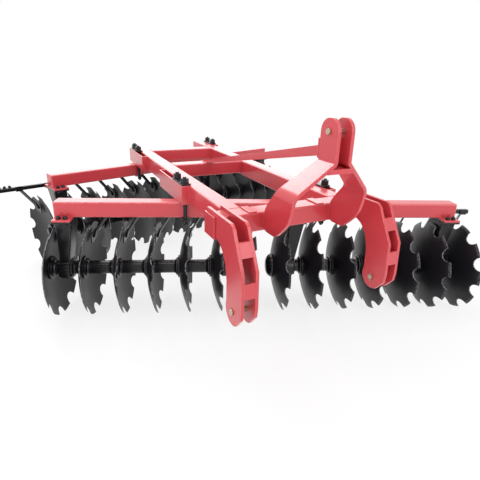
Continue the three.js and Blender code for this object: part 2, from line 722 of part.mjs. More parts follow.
/** The whole harrow, with its origin on the ground under the middle of its box. */
function discHarrow() {
  const harrow = new THREE.Group();
  addRow(harrow, 'front', FRONT_ROW);
  addRow(harrow, 'rear', REAR_ROW);

  harrow.add(piece('front_crossbeam', frontCrossbeam(), paint));
  harrow.add(piece('middle_crossbeam', innerCrossbeam(MIDDLE_CROSS_Y), paint));
  harrow.add(piece('rear_crossbeam', innerCrossbeam(REAR_CROSS_Y), paint));

  harrow.add(piece('mast_left_leg', mastLeg(-1), paint));
  harrow.add(piece('mast_right_leg', mastLeg(1), paint));
  harrow.add(piece('mast_brace', mastBrace(), paint));
  harrow.add(piece('top_link_pin', topPin(), steel));

  [['left', -1], ['right', 1]].forEach(([name, side]) => {
    harrow.add(piece(`${name}_longitudinal`, longitudinal(name, side), paint));
    harrow.add(piece(`${name}_hitch_clevis`, clevis(side), paint));
    harrow.add(piece(`${name}_hitch_pin`, clevisPin(side), steel));
    harrow.add(piece(`front_${name}_clamp`, clamp(FRONT_ROW, side), black));
    harrow.add(piece(`rear_${name}_clamp`, clamp(REAR_ROW, side), black));
  });

  const extent = new THREE.Box3().setFromObject(harrow, true);
  const middle = extent.getCenter(new THREE.Vector3());
  harrow.position.set(-middle.x, -middle.y, -extent.min.z);
  const part = new THREE.Group();
  part.add(harrow);
  return part;
}

export default discHarrow();
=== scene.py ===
"""A mounted offset disc harrow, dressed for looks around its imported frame.

Every length is in metres. Row pieces are made in a row's own frame (X along the gang, Y across
it, Z up) and frame pieces in the machine's own frame (X = 0 in the mast's middle plane, Y = 0 on
the front face of the front crossbeam, Z = 0 on the ground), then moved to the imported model's.
"""

from __future__ import annotations

import json
import logging
import math
from dataclasses import dataclass, field
from enum import Enum
from itertools import product
from typing import Any, Iterable, Sequence

import bmesh
import bpy
from mathutils import Matrix, Vector

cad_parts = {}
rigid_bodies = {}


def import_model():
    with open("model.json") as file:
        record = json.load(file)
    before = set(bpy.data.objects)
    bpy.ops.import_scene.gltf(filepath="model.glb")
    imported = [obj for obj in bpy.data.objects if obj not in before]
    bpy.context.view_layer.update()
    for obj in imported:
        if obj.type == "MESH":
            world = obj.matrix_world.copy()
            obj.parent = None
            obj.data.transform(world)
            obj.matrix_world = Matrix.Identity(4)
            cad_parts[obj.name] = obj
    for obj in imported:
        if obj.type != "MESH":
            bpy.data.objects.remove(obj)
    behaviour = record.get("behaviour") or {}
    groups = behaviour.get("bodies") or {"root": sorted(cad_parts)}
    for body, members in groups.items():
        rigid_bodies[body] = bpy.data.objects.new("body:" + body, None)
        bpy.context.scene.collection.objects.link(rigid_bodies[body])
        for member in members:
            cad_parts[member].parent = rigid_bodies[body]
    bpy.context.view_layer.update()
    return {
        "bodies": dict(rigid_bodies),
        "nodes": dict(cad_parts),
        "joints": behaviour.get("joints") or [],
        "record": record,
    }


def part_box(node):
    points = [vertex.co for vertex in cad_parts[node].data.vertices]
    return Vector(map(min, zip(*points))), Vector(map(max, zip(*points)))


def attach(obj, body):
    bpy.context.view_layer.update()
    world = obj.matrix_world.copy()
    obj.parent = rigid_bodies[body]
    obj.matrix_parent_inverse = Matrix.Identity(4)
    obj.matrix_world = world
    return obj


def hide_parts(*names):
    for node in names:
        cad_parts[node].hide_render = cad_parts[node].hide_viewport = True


LOG = logging.getLogger("harrow")
# The face mask below picks out faces for the lighter edge colour: rubbed-through paint, and on
# the red paint a painted edge highlight.
FRAME = "frame"
WEAR_AND_HIGHLIGHT_MASK = "worn"
TURN = "turn"
SMOOTH_LIMIT = math.radians(50)
FOLD_LIMIT = 25.0
HERE = Matrix.Identity(4)
SIGNS = (-1, 1)
Point = tuple[float, float, float]
Pair = tuple[float, float]
Seat = tuple[Point, Point]
Seam = list[Point]


class Finish(Enum):
    """The record's material slots."""

    RED = "red_paint"
    BLACK = "black_paint"
    DISC = "disc_steel"
    PIN = "pin_steel"


class Plane(Enum):
    """The plane that a slab's outline lies in."""

    XY = "xy"
    YZ = "yz"

    def lift(self, u: float, v: float, w: float) -> Point:
        """The point at (u, v) in the plane and w along its normal."""
        return (u, v, w) if self is Plane.XY else (w, u, v)


class Side(Enum):
    """Left and right, looking along +Y from the hitch."""

    LEFT = -1
    RIGHT = 1

    @property
    def word(self) -> str:
        """The side's name in lower case."""
        return self.name.lower()


# ---------------------------------------------------------------------------------- points


def around(count: int) -> list[tuple[int, int]]:
    """Each index with the one after it, in a closed loop."""
    return [(i, (i + 1) % count) for i in range(count)]


def about(middle: float, width: float) -> Pair:
    """The ends of a span around its middle."""
    return (middle - width / 2, middle + width / 2)


def sided(sign: int, near: float, far: float) -> Pair:
    """A span on one side of the middle plane, its lower end first."""
    return (min(sign * near, sign * far), max(sign * near, sign * far))


def rectangle(x: Pair, y: Pair) -> list[Pair]:
    """A rectangle's corners in a loop."""
    return [(x[0], y[0]), (x[1], y[0]), (x[1], y[1]), (x[0], y[1])]


def blend(start: Sequence[float], end: Sequence[float], share: float) -> tuple[float, ...]:
    """The point at a share of the way from one point to another."""
    return tuple(a + (b - a) * share for a, b in zip(start, end))


def circle(x: float, radius: float, sides: int, offset: float = 0.5) -> list[Point]:
    """A ring of points around X."""
    angles = [2 * math.pi * (i + offset) / sides for i in range(sides)]
    return [(x, radius * math.cos(a), radius * math.sin(a)) for a in angles]


def arc(centre: Pair, radius: float, start: float, end: float, steps: int) -> list[Pair]:
    """Points of an arc in degrees around a centre, both ends included."""
    angles = [math.radians(start + (end - start) * i / steps) for i in range(steps + 1)]
    return [(centre[0] + radius * math.cos(a), centre[1] + radius * math.sin(a)) for a in angles]


def smooth_path(points: Sequence[Sequence[float]], steps: int) -> list[tuple[float, ...]]:
    """A Catmull-Rom curve through points of any dimension.

    Args:
        points: the points.
        steps: the pieces between each two of them.

    Returns:
        The curve's points.
    """
    ends = [points[0], *points, points[-1]]
    out: list[tuple[float, ...]] = []
    for a, b, c, d in zip(ends, ends[1:], ends[2:], ends[3:]):
        for i in range(steps):
            t = i / steps
            out.append(tuple(
                0.5 * (2 * q + (r - p) * t + (2 * p - 5 * q + 4 * r - s) * t * t
                       + (3 * q - p - 3 * r + s) * t ** 3)
                for p, q, r, s in zip(a, b, c, d)))
    return [*out, tuple(points[-1])]


def chamfered(profile: Sequence[Pair], cut: float) -> list[Pair]:
    """Cuts the corners of an open profile.

    Args:
        profile: points of (x, radius).
        cut: how much each inner corner loses on both of its sides.

    Returns:
        The profile with two points for each inner corner.
    """
    most = 0.4
    out = [profile[0]]
    for before, here, after in zip(profile, profile[1:], profile[2:]):
        for other in (before, after):
            gap = math.dist(here, other)
            out.append(blend(here, other, min(cut, gap * most) / gap if gap > 0 else 0.0))
    return [*out, profile[-1]]


# ---------------------------------------------------------------------------------- meshes


def soften(bm: bmesh.types.BMesh, width: float, steps: int, least: float = FOLD_LIMIT) -> None:
    """Rounds a mesh's sharp edges and marks the new faces for the lighter edge colour:
    rubbed-through paint, and on the red a painted edge highlight.

    Args:
        bm: the mesh.
        width: how far the rounding reaches from each edge.
        steps: the faces across each rounding.
        least: edges that fold by less than this, in degrees, stay.
    """
    layer = bm.faces.layers.float.get(WEAR_AND_HIGHLIGHT_MASK) or bm.faces.layers.float.new(WEAR_AND_HIGHLIGHT_MASK)
    if width <= 0:
        return
    edges = [
        e for e in bm.edges
        if len(e.link_faces) == 2 and e.calc_face_angle() > math.radians(least)]
    made = bmesh.ops.bevel(
        bm, geom=edges, offset=width, offset_type="OFFSET", segments=steps, profile=0.5,
        affect="EDGES", clamp_overlap=True)
    for face in made["faces"]:
        face[layer] = 1.0


class Shape:
    """The faces of one piece while it is being made. Each adding method returns the shape."""

    def __init__(self) -> None:
        """Starts with nothing."""
        self.points: list[Vector] = []
        self.faces: list[tuple[int, ...]] = []
        self.worn: list[float] = []

    def take(self, bm: bmesh.types.BMesh, place: Matrix = HERE) -> Shape:
        """Adds a mesh's faces, turned outwards, and frees it.

        Args:
            bm: the mesh.
            place: where it goes.

        Returns:
            The shape.
        """
        bmesh.ops.recalc_face_normals(bm, faces=bm.faces)
        layer = bm.faces.layers.float.get(WEAR_AND_HIGHLIGHT_MASK)
        bm.verts.index_update()
        base = len(self.points)
        self.points.extend(place @ vert.co for vert in bm.verts)
        for face in bm.faces:
            self.faces.append(tuple(base + v.index for v in face.verts))
            self.worn.append(face[layer] if layer else 0.0)
        bm.free()
        return self

    def rings(
        self, rings: Sequence[Sequence[Point]], width: float = 0.0, steps: int = 2,
        place: Matrix = HERE, least: float = FOLD_LIMIT,
    ) -> Shape:
        """Adds a closed solid through rings of as many points each, capped at its ends.

        Args:
            rings: the rings.
            width: how far its edges are rounded.
            steps: the faces across each rounding.
            place: where it goes.
            least: edges that fold by less than this, in degrees, stay.

        Returns:
            The shape.
        """
        bm = bmesh.new()
        rows = [[bm.verts.new(p) for p in ring] for ring in rings]
        for first, second in zip(rows, rows[1:]):
            for i, j in around(len(first)):
                bm.faces.new((first[i], first[j], second[j], second[i]))
        bm.faces.new(list(reversed(rows[0])))
        bm.faces.new(rows[-1])
        bmesh.ops.recalc_face_normals(bm, faces=bm.faces)
        soften(bm, width, steps, least)
        return self.take(bm, place)

    def block(
        self, x: Pair, y: Pair, z: Pair, width: float = 0.002, steps: int = 2,
    ) -> Shape:
        """Adds an upright box with rounded edges."""
        return self.slab(rectangle(x, y), z, Plane.XY, width, steps)

    def slab(
        self, outline: Sequence[Pair], span: Pair, plane: Plane, width: float = 0.002,
        steps: int = 2,
    ) -> Shape:
        """Adds a plate: an outline in a plane, thickened over a span, with rounded edges."""
        rings = [[plane.lift(u, v, w) for u, v in outline] for w in span]
        return self.rings(rings, width, steps)

    def turned(
        self, profile: Sequence[Pair], sides: int, place: Matrix = HERE, cut: float = 0.001,
    ) -> Shape:
        """Adds a solid turned around X from a profile of (x, radius) points."""
        rings = [circle(x, radius, sides) for x, radius in chamfered(profile, cut)]
        return self.rings(rings, place=place)

    def rod(self, radius: float, start: Point, end: Point, sides: int = 28) -> Shape:
        """Adds a round bar with its ends broken.

        Args:
            radius: its radius.
            start: the middle of one end.
            end: the middle of the other end.
            sides: the faces around it.

        Returns:
            The shape.
        """
        span = Vector(end) - Vector(start)
        turn = span.to_track_quat("X", "Z").to_matrix().to_4x4()
        blunt = radius * 0.82
        profile = [(0.0, blunt), (0.0, radius), (span.length, radius), (span.length, blunt)]
        return self.turned(profile, sides, Matrix.Translation(start) @ turn, radius * 0.12)

    def split_pin(self, middle: Point, half: float) -> Shape:
        """Adds the upright leg of a split pin, reaching half its length each way."""
        x, y, z = middle
        return self.rod(0.0022, (x, y, z - half), (x, y, z + half), 10)

    def bar(
        self, start: Point, end: Point, wide: float, thick: float, across: Point,
        width: float = 0.0015,
    ) -> Shape:
        """Adds a flat bar between two points.

        Args:
            start: the middle of one end.
            end: the middle of the other end.
            wide: its width.
            thick: its thickness.
            across: the way its width runs, as near as can be.
            width: how far its edges are rounded.

        Returns:
            The shape.
        """
        span = Vector(end) - Vector(start)
        along = span.normalized()
        face = along.cross(Vector(across)).normalized()
        turn = Matrix((along, face.cross(along), face)).transposed().to_4x4()
        outline = rectangle((0, span.length), about(0, wide))
        rings = [[(u, v, w) for u, v in outline] for w in about(0, thick)]
        return self.rings(rings, width, place=Matrix.Translation(start) @ turn)

    def mesh(self, place: Matrix = HERE) -> bpy.types.Mesh:
        """The faces as a mesh.

        Args:
            place: where it goes.

        Returns:
            The mesh, with its faces marked for the lighter edge colour: rubbed-through paint and
            painted edge highlight.
        """
        mesh = bpy.data.meshes.new("piece")
        mesh.from_pydata([tuple(place @ p) for p in self.points], [], self.faces)
        layer = mesh.attributes.new(WEAR_AND_HIGHLIGHT_MASK, "FLOAT", "FACE")
        layer.data.foreach_set("value", self.worn)
        mesh.update()
        return mesh


def softened_copy(node: str, width: float) -> Shape:
    """A CAD node's own shape with its edges rounded.

    Args:
        node: the node's name.
        width: how far the rounding reaches.

    Returns:
        The shape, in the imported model's frame.
    """
    bm = bmesh.new()
    bm.from_mesh(bpy.data.objects[node].data)
    bmesh.ops.remove_doubles(bm, verts=bm.verts, dist=1e-5)
    bmesh.ops.dissolve_limit(
        bm, angle_limit=math.radians(0.5), verts=bm.verts, edges=bm.edges)
    bmesh.ops.recalc_face_normals(bm, faces=bm.faces)
    soften(bm, width, 2)
    return Shape().take(bm)


# ---------------------------------------------------------------------------------- nodes


class Socket(Enum):
    """The kinds of socket that a node group can have."""

    FLOAT = "NodeSocketFloat"
    WHOLE = "NodeSocketInt"
    COLOR = "NodeSocketColor"
    VECTOR = "NodeSocketVector"
    GEOMETRY = "NodeSocketGeometry"
    MATERIAL = "NodeSocketMaterial"


class Sheet:
    """A node tree with short ways to add and link nodes."""

    def __init__(self, tree: bpy.types.NodeTree) -> None:
        """Keeps the tree."""
        self.tree = tree
        self.count = 0

    def add(self, kind: str, **given: Any) -> bpy.types.Node:
        """Adds a node.

        Args:
            kind: the node's type.
            **given: its properties by name; an input's value or the socket that feeds it,
                as in_NAME with underscores for spaces, or as at_INDEX.

        Returns:
            The node.
        """
        node = self.tree.nodes.new(kind)
        node.location = (220 * (self.count % 12), -260 * (self.count // 12))
        self.count += 1
        for key, value in given.items():
            if key.startswith("in_"):
                self.feed(node.inputs[key[3:].replace("_", " ")], value)
            elif key.startswith("at_"):
                self.feed(node.inputs[int(key[3:])], value)
            else:
                setattr(node, key, value)
        return node

    def feed(self, socket: bpy.types.NodeSocket, value: Any) -> None:
        """Links a socket to an input, or sets its value."""
        if isinstance(value, bpy.types.NodeSocket):
            self.tree.links.new(value, socket)
        else:
            socket.default_value = value

    def math(self, way: str, a: Any, b: Any = 0.0, c: Any = 0.0) -> bpy.types.NodeSocket:
        """The output of a Math node."""
        return self.add("ShaderNodeMath", operation=way, at_0=a, at_1=b, at_2=c).outputs[0]

    def times(self, a: Any, b: Any) -> bpy.types.NodeSocket:
        """One value times another."""
        return self.math("MULTIPLY", a, b)

    def ramp(self, value: Any, low: float, high: float) -> bpy.types.NodeSocket:
        """A value stretched so that low gives 0 and high gives 1, and held there."""
        return self.add("ShaderNodeMapRange", clamp=True, in_Value=value, in_From_Min=low,
                        in_From_Max=high).outputs[0]

    def mix(self, share: Any, a: Any, b: Any, way: str = "MIX") -> bpy.types.NodeSocket:
        """Two colours mixed."""
        return self.add("ShaderNodeMix", data_type="RGBA", blend_type=way, at_0=share, at_6=a,
                        at_7=b).outputs[2]

    def noise(self, scale: Any, detail: float) -> bpy.types.NodeSocket:
        """Noise in the object's own coordinates."""
        where = self.add("ShaderNodeTexCoord").outputs["Object"]
        return self.add("ShaderNodeTexNoise", in_Vector=where, in_Scale=scale,
                        in_Detail=detail).outputs[0]

    def scaled(self, vector: Any, by: Any) -> bpy.types.NodeSocket:
        """A vector times a value."""
        return self.add("ShaderNodeVectorMath", operation="SCALE", at_0=vector,
                        in_Scale=by).outputs[0]


class Group(Sheet):
    """A node group with named sockets."""

    def __init__(
        self, name: str, kind: str, inputs: Sequence[tuple[str, Socket, Any]],
        outputs: Sequence[tuple[str, Socket]],
    ) -> None:
        """Makes the group with its sockets.

        Args:
            name: the group's name.
            kind: its tree type.
            inputs: name, kind and default of each input.
            outputs: name and kind of each output.
        """
        super().__init__(bpy.data.node_groups.new(name, kind))
        sockets = self.tree.interface
        for label, socket, value in inputs:
            made = sockets.new_socket(label, in_out="INPUT", socket_type=socket.value)
            if value is not None:
                made.default_value = value
        for label, socket in outputs:
            sockets.new_socket(label, in_out="OUTPUT", socket_type=socket.value)
        self.given = self.add("NodeGroupInput").outputs
        self.result = self.add("NodeGroupOutput").inputs


class Grower(Group):
    """A geometry node group that makes real geometry with its material set."""

    def __init__(self, name: str, inputs: Sequence[tuple[str, Socket, Any]]) -> None:
        """Makes the group, with its geometry ahead of the inputs and its material after."""
        super().__init__(
            name, "GeometryNodeTree",
            [("Geometry", Socket.GEOMETRY, None), *inputs, ("Material", Socket.MATERIAL, None)],
            [("Geometry", Socket.GEOMETRY)])

    def close(self, made: Any) -> bpy.types.NodeTree:
        """Ends the group.

        Args:
            made: the geometry that it has grown.

        Returns:
            The group's tree.
        """
        real = self.add("GeometryNodeRealizeInstances", in_Geometry=made)
        done = self.add("GeometryNodeSetMaterial", in_Geometry=real.outputs[0],
                        in_Material=self.given["Material"])
        self.feed(self.result[0], done.outputs[0])
        return self.tree


# ---------------------------------------------------------------------------------- finishes


def coat_group() -> bpy.types.NodeTree:
    """The group that gives a sprayed coat its mottle, its skin and its settled dust.

    Returns:
        The group's tree.
    """
    sheet = Group(
        "sprayed_coat", "ShaderNodeTree",
        [("Color", Socket.COLOR, (0.5, 0.5, 0.5, 1)),
         ("Dust Color", Socket.COLOR, (0.45, 0.4, 0.34, 1)), ("Dust", Socket.FLOAT, 0.1),
         ("Mottle", Socket.FLOAT, 0.08), ("Roughness", Socket.FLOAT, 0.35),
         ("Skin", Socket.FLOAT, 0.1), ("Skin Scale", Socket.FLOAT, 140.0)],
        [("Color", Socket.COLOR), ("Roughness", Socket.FLOAT), ("Normal", Socket.VECTOR)])
    given = sheet.given
    broad, fine = sheet.noise(3.5, 3.0), sheet.noise(38.0, 5.0)
    skin = sheet.noise(given["Skin Scale"], 2.0)
    shade = sheet.math("MULTIPLY_ADD", sheet.math("SUBTRACT", broad, 0.5), given["Mottle"], 1.0)
    tint = sheet.add("ShaderNodeCombineColor", in_Red=shade, in_Green=shade, in_Blue=shade)
    colour = sheet.mix(1.0, given["Color"], tint.outputs[0], "MULTIPLY")
    normal = sheet.add("ShaderNodeNewGeometry").outputs["Normal"]
    up = sheet.add("ShaderNodeSeparateXYZ", at_0=normal).outputs[2]
    settled = sheet.times(sheet.ramp(up, 0.1, 1.0), sheet.ramp(fine, 0.35, 0.75))
    dust = sheet.times(settled, given["Dust"])
    rough = sheet.math("MULTIPLY_ADD", sheet.math("SUBTRACT", fine, 0.5), 0.16,
                       given["Roughness"])
    bump = sheet.add("ShaderNodeBump", in_Strength=given["Skin"], in_Distance=0.0006,
                     in_Height=skin)
    sheet.feed(sheet.result["Color"], sheet.mix(dust, colour, given["Dust Color"]))
    sheet.feed(sheet.result["Roughness"], sheet.math("MULTIPLY_ADD", dust, 0.5, rough))
    sheet.feed(sheet.result["Normal"], bump.outputs[0])
    return sheet.tree


def wear_group() -> bpy.types.NodeTree:
    """The group that lightens a finish along rounded edges: rubbed-through paint, and on the red
    a painted edge highlight.

    Returns:
        The group's tree.
    """
    sheet = Group(
        "rubbed_edges", "ShaderNodeTree",
        [("Color", Socket.COLOR, (0.5, 0.5, 0.5, 1)),
         ("Bare Color", Socket.COLOR, (0.4, 0.4, 0.4, 1)), ("Amount", Socket.FLOAT, 0.3),
         ("Scale", Socket.FLOAT, 60.0)],
        [("Color", Socket.COLOR)])
    given = sheet.given
    edge = sheet.add("ShaderNodeAttribute", attribute_name=WEAR_AND_HIGHLIGHT_MASK).outputs["Fac"]
    # The lighter edges run in nearly unbroken bands: partly rubbed-through paint, partly a
    # painted edge highlight on the red.
    patch = sheet.ramp(sheet.noise(given["Scale"], 4.0), 0.38, 0.56)
    mask = sheet.times(sheet.times(edge, patch), given["Amount"])
    sheet.feed(sheet.result["Color"], sheet.mix(mask, given["Color"], given["Bare Color"]))
    return sheet.tree


def new_material(name: str) -> tuple[bpy.types.Material, Sheet]:
    """A material and its empty sheet.

    Args:
        name: the material's name.

    Returns:
        The two.
    """
    material = bpy.data.materials.new(name)
    material.use_nodes = True
    material.node_tree.nodes.clear()
    return material, Sheet(material.node_tree)


@dataclass(frozen=True)
class Coating:
    """A finish of the machine: its colour, its gloss and its lighter edges, which are
    rubbed-through paint and, on the red, a painted edge highlight.
    """

    name: str
    color: Point
    roughness: float
    metallic: float = 0.0
    coat: float = 0.0
    coat_roughness: float = 0.2
    gloss: float = 0.5
    dust: float = 0.1
    mottle: float = 0.1
    skin: float = 0.12
    skin_scale: float = 140.0
    bare: Point = (0.4, 0.38, 0.36)
    wear: float = 0.25
    wear_scale: float = 60.0

    def build(self, coat: bpy.types.NodeTree, wear_and_highlight_tree: bpy.types.NodeTree) -> bpy.types.Material:
        """The finish as a material.

        Args:
            coat: the sprayed coat's group.
            wear_and_highlight_tree: the group for rubbed edges and the painted edge highlight.

        Returns:
            The material.
        """
        material, sheet = new_material(self.name)
        material.diffuse_color = (*self.color, 1)
        film = sheet.add(
            "ShaderNodeGroup", node_tree=coat, in_Color=(*self.color, 1), in_Dust=self.dust,
            in_Mottle=self.mottle, in_Roughness=self.roughness, in_Skin=self.skin,
            in_Skin_Scale=self.skin_scale)
        edges = sheet.add(
            "ShaderNodeGroup", node_tree=wear_and_highlight_tree, in_Color=film.outputs["Color"],
            in_Bare_Color=(*self.bare, 1), in_Amount=self.wear, in_Scale=self.wear_scale)
        shader = sheet.add(
            "ShaderNodeBsdfPrincipled", in_Base_Color=edges.outputs["Color"],
            in_Roughness=film.outputs["Roughness"], in_Normal=film.outputs["Normal"],
            in_Metallic=self.metallic, in_Coat_Weight=self.coat,
            in_Coat_Roughness=self.coat_roughness, in_Specular_IOR_Level=self.gloss)
        sheet.add("ShaderNodeOutputMaterial", in_Surface=shader.outputs[0])
        return material


COATINGS = {
    # The red's edge colour is a lighter red: partly rubbed-through paint, partly a painted
    # highlight along its edges.
    Finish.RED: Coating(
        "red_enamel", (0.60, 0.050, 0.064), 0.34, gloss=0.4, coat=0.6, coat_roughness=0.18,
        dust=0.08, mottle=0.14, skin=0.12, bare=(0.72, 0.2, 0.2), wear=0.35),
    Finish.BLACK: Coating(
        "black_enamel", (0.008, 0.008, 0.011), 0.24, gloss=0.42, dust=0.05, mottle=0.3,
        skin=0.08, skin_scale=90.0, bare=(0.16, 0.155, 0.15), wear=0.3),
    Finish.DISC: Coating(
        "dark_disc_coat", (0.010, 0.009, 0.012), 0.36, gloss=0.3, dust=0.06, mottle=0.7,
        skin=0.14, skin_scale=60.0, bare=(0.34, 0.34, 0.35), wear=0.6, wear_scale=90.0),
    Finish.PIN: Coating(
        "zinc_plate", (0.5, 0.45, 0.34), 0.3, metallic=0.9, dust=0.05, mottle=0.25,
        skin=0.1, skin_scale=200.0, bare=(0.7, 0.68, 0.6), wear=0.3),
}


# ---------------------------------------------------------------------------------- trees


@dataclass(frozen=True)
class BoltSize:
    """The sizes of a bolt's head or nut and of the thread beyond it."""

    flats: float
    head: float
    washer: float
    thread: float
    beyond: float


class Bolt(Enum):
    """The fasteners of the machine."""

    M24_NUT = BoltSize(0.044, 0.030, 0.028, 0.012, 0.009)
    M20_HEAD = BoltSize(0.030, 0.017, 0.019, 0.010, 0.008)
    M16_NUT = BoltSize(0.024, 0.013, 0.015, 0.008, 0.006)
    M16_HEAD = BoltSize(0.024, 0.010, 0.015, 0.004, 0.0006)
    M12_NUT = BoltSize(0.019, 0.010, 0.012, 0.006, 0.005)
    M8_HEAD = BoltSize(0.012, 0.005, 0.0062, 0.002, 0.0004)
    SHAFT_NUT = BoltSize(0.050, 0.011, 0.032, 0.015, 0.0005)


def copies_tree() -> bpy.types.NodeTree:
    """A tree that repeats its own mesh in a straight row.

    Returns:
        The tree.
    """
    sheet = Grower("copies_in_a_row", [("Count", Socket.WHOLE, 2),
                                       ("Step", Socket.VECTOR, (0.1, 0, 0))])
    line = sheet.add("GeometryNodeMeshLine", mode="OFFSET", in_Count=sheet.given["Count"],
                     in_Offset=sheet.given["Step"])
    copies = sheet.add("GeometryNodeInstanceOnPoints", in_Points=line.outputs[0],
                       in_Instance=sheet.given["Geometry"])
    return sheet.close(copies.outputs[0])


def bolts_tree() -> bpy.types.NodeTree:
    """A tree that sets a washer, a hexagon and a thread's end on each point.

    Returns:
        The tree.
    """
    plate, bevel, crown_share, step, hexagon = 0.003, 0.14, 0.88, 0.0011, 6
    sheet = Grower(
        "hexagon_fasteners",
        [("Across Flats", Socket.FLOAT, 0.024), ("Head Height", Socket.FLOAT, 0.013),
         ("Washer Radius", Socket.FLOAT, 0.015), ("Thread Radius", Socket.FLOAT, 0.008),
         ("Thread Length", Socket.FLOAT, 0.006), ("Seed", Socket.WHOLE, 0)])
    given, math_node, times = sheet.given, sheet.math, sheet.times
    head, length = given["Head Height"], given["Thread Length"]
    corner = times(given["Across Flats"], 1 / math.sqrt(3))
    washer = sheet.add("GeometryNodeMeshCylinder", in_Vertices=24,
                       in_Radius=given["Washer Radius"], in_Depth=plate)
    tall = times(head, 1 - bevel)
    body = sheet.add("GeometryNodeMeshCylinder", in_Vertices=hexagon, in_Radius=corner,
                     in_Depth=tall)
    crown = sheet.add("GeometryNodeMeshCone", in_Vertices=hexagon,
                      in_Radius_Top=times(corner, crown_share), in_Radius_Bottom=corner,
                      in_Depth=times(head, bevel))
    turns = math_node("MAXIMUM", math_node("ROUND", math_node("DIVIDE", length, step)), 2)
    thread = sheet.add("GeometryNodeMeshCylinder", in_Vertices=16, in_Side_Segments=turns,
                       in_Radius=given["Thread Radius"], in_Depth=length)
    where = sheet.add("ShaderNodeSeparateXYZ",
                      at_0=sheet.add("GeometryNodeInputPosition").outputs[0]).outputs
    phase = math_node("ADD", math_node("DIVIDE", where[2], length), 0.5)
    phase = times(phase, times(turns, math.pi))
    ridge = math_node("MULTIPLY_ADD", math_node("COSINE", phase), 0.04, -0.03)
    flat = sheet.add("ShaderNodeCombineXYZ", in_X=where[0], in_Y=where[1])
    thread = sheet.add("GeometryNodeSetPosition", in_Geometry=thread.outputs[0],
                       in_Offset=sheet.scaled(flat.outputs[0], ridge))
    join = sheet.add("GeometryNodeJoinGeometry")
    for bit, at in (
        (washer, times(plate, 0.5)),
        (body, math_node("ADD", times(tall, 0.5), plate)),
        (crown, math_node("ADD", tall, plate)),
        (thread, math_node("ADD", math_node("MULTIPLY_ADD", length, 0.5, plate), head)),
    ):
        lift = sheet.add("ShaderNodeCombineXYZ", in_Z=at)
        raised = sheet.add("GeometryNodeTransform", in_Geometry=bit.outputs[0],
                           in_Translation=lift.outputs[0])
        sheet.feed(join.inputs[0], raised.outputs[0])
    turn = sheet.add("GeometryNodeInputNamedAttribute", data_type="FLOAT_VECTOR", in_Name=TURN)
    spots = sheet.add("GeometryNodeInstanceOnPoints", in_Points=given["Geometry"],
                      in_Instance=join.outputs[0], in_Rotation=turn.outputs[0])
    spin = sheet.add("FunctionNodeRandomValue", data_type="FLOAT", in_Seed=given["Seed"],
                     at_3=math.pi / 3)
    twist = sheet.add("ShaderNodeCombineXYZ", in_Z=spin.outputs[1])
    spun = sheet.add("GeometryNodeRotateInstances", in_Instances=spots.outputs[0],
                     in_Rotation=twist.outputs[0])
    return sheet.close(spun.outputs[0])


def weld_tree() -> bpy.types.NodeTree:
    """A tree that lays a rippled bead along edges.

    Returns:
        The tree.
    """
    sheet = Grower("weld_bead", [("Radius", Socket.FLOAT, 0.004),
                                 ("Ripple", Socket.FLOAT, 0.001), ("Seed", Socket.FLOAT, 0.0)])
    path = sheet.add("GeometryNodeMeshToCurve", in_Mesh=sheet.given["Geometry"])
    even = sheet.add("GeometryNodeResampleCurve", mode="LENGTH", in_Curve=path.outputs[0],
                     in_Length=0.005)
    ring = sheet.add("GeometryNodeCurvePrimitiveCircle", in_Resolution=8,
                     in_Radius=sheet.given["Radius"])
    bead = sheet.add("GeometryNodeCurveToMesh", in_Curve=even.outputs[0],
                     in_Profile_Curve=ring.outputs[0], in_Fill_Caps=True)
    lumps = sheet.add("ShaderNodeTexNoise", noise_dimensions="4D", in_Scale=70.0,
                      in_W=sheet.given["Seed"])
    swell = sheet.times(sheet.math("SUBTRACT", lumps.outputs[0], 0.5),
                        sheet.times(sheet.given["Ripple"], 4.0))
    normal = sheet.add("GeometryNodeInputNormal").outputs[0]
    moved = sheet.add("GeometryNodeSetPosition", in_Geometry=bead.outputs[0],
                      in_Offset=sheet.scaled(normal, swell))
    return sheet.close(moved.outputs[0])


# ---------------------------------------------------------------------------------- workshop


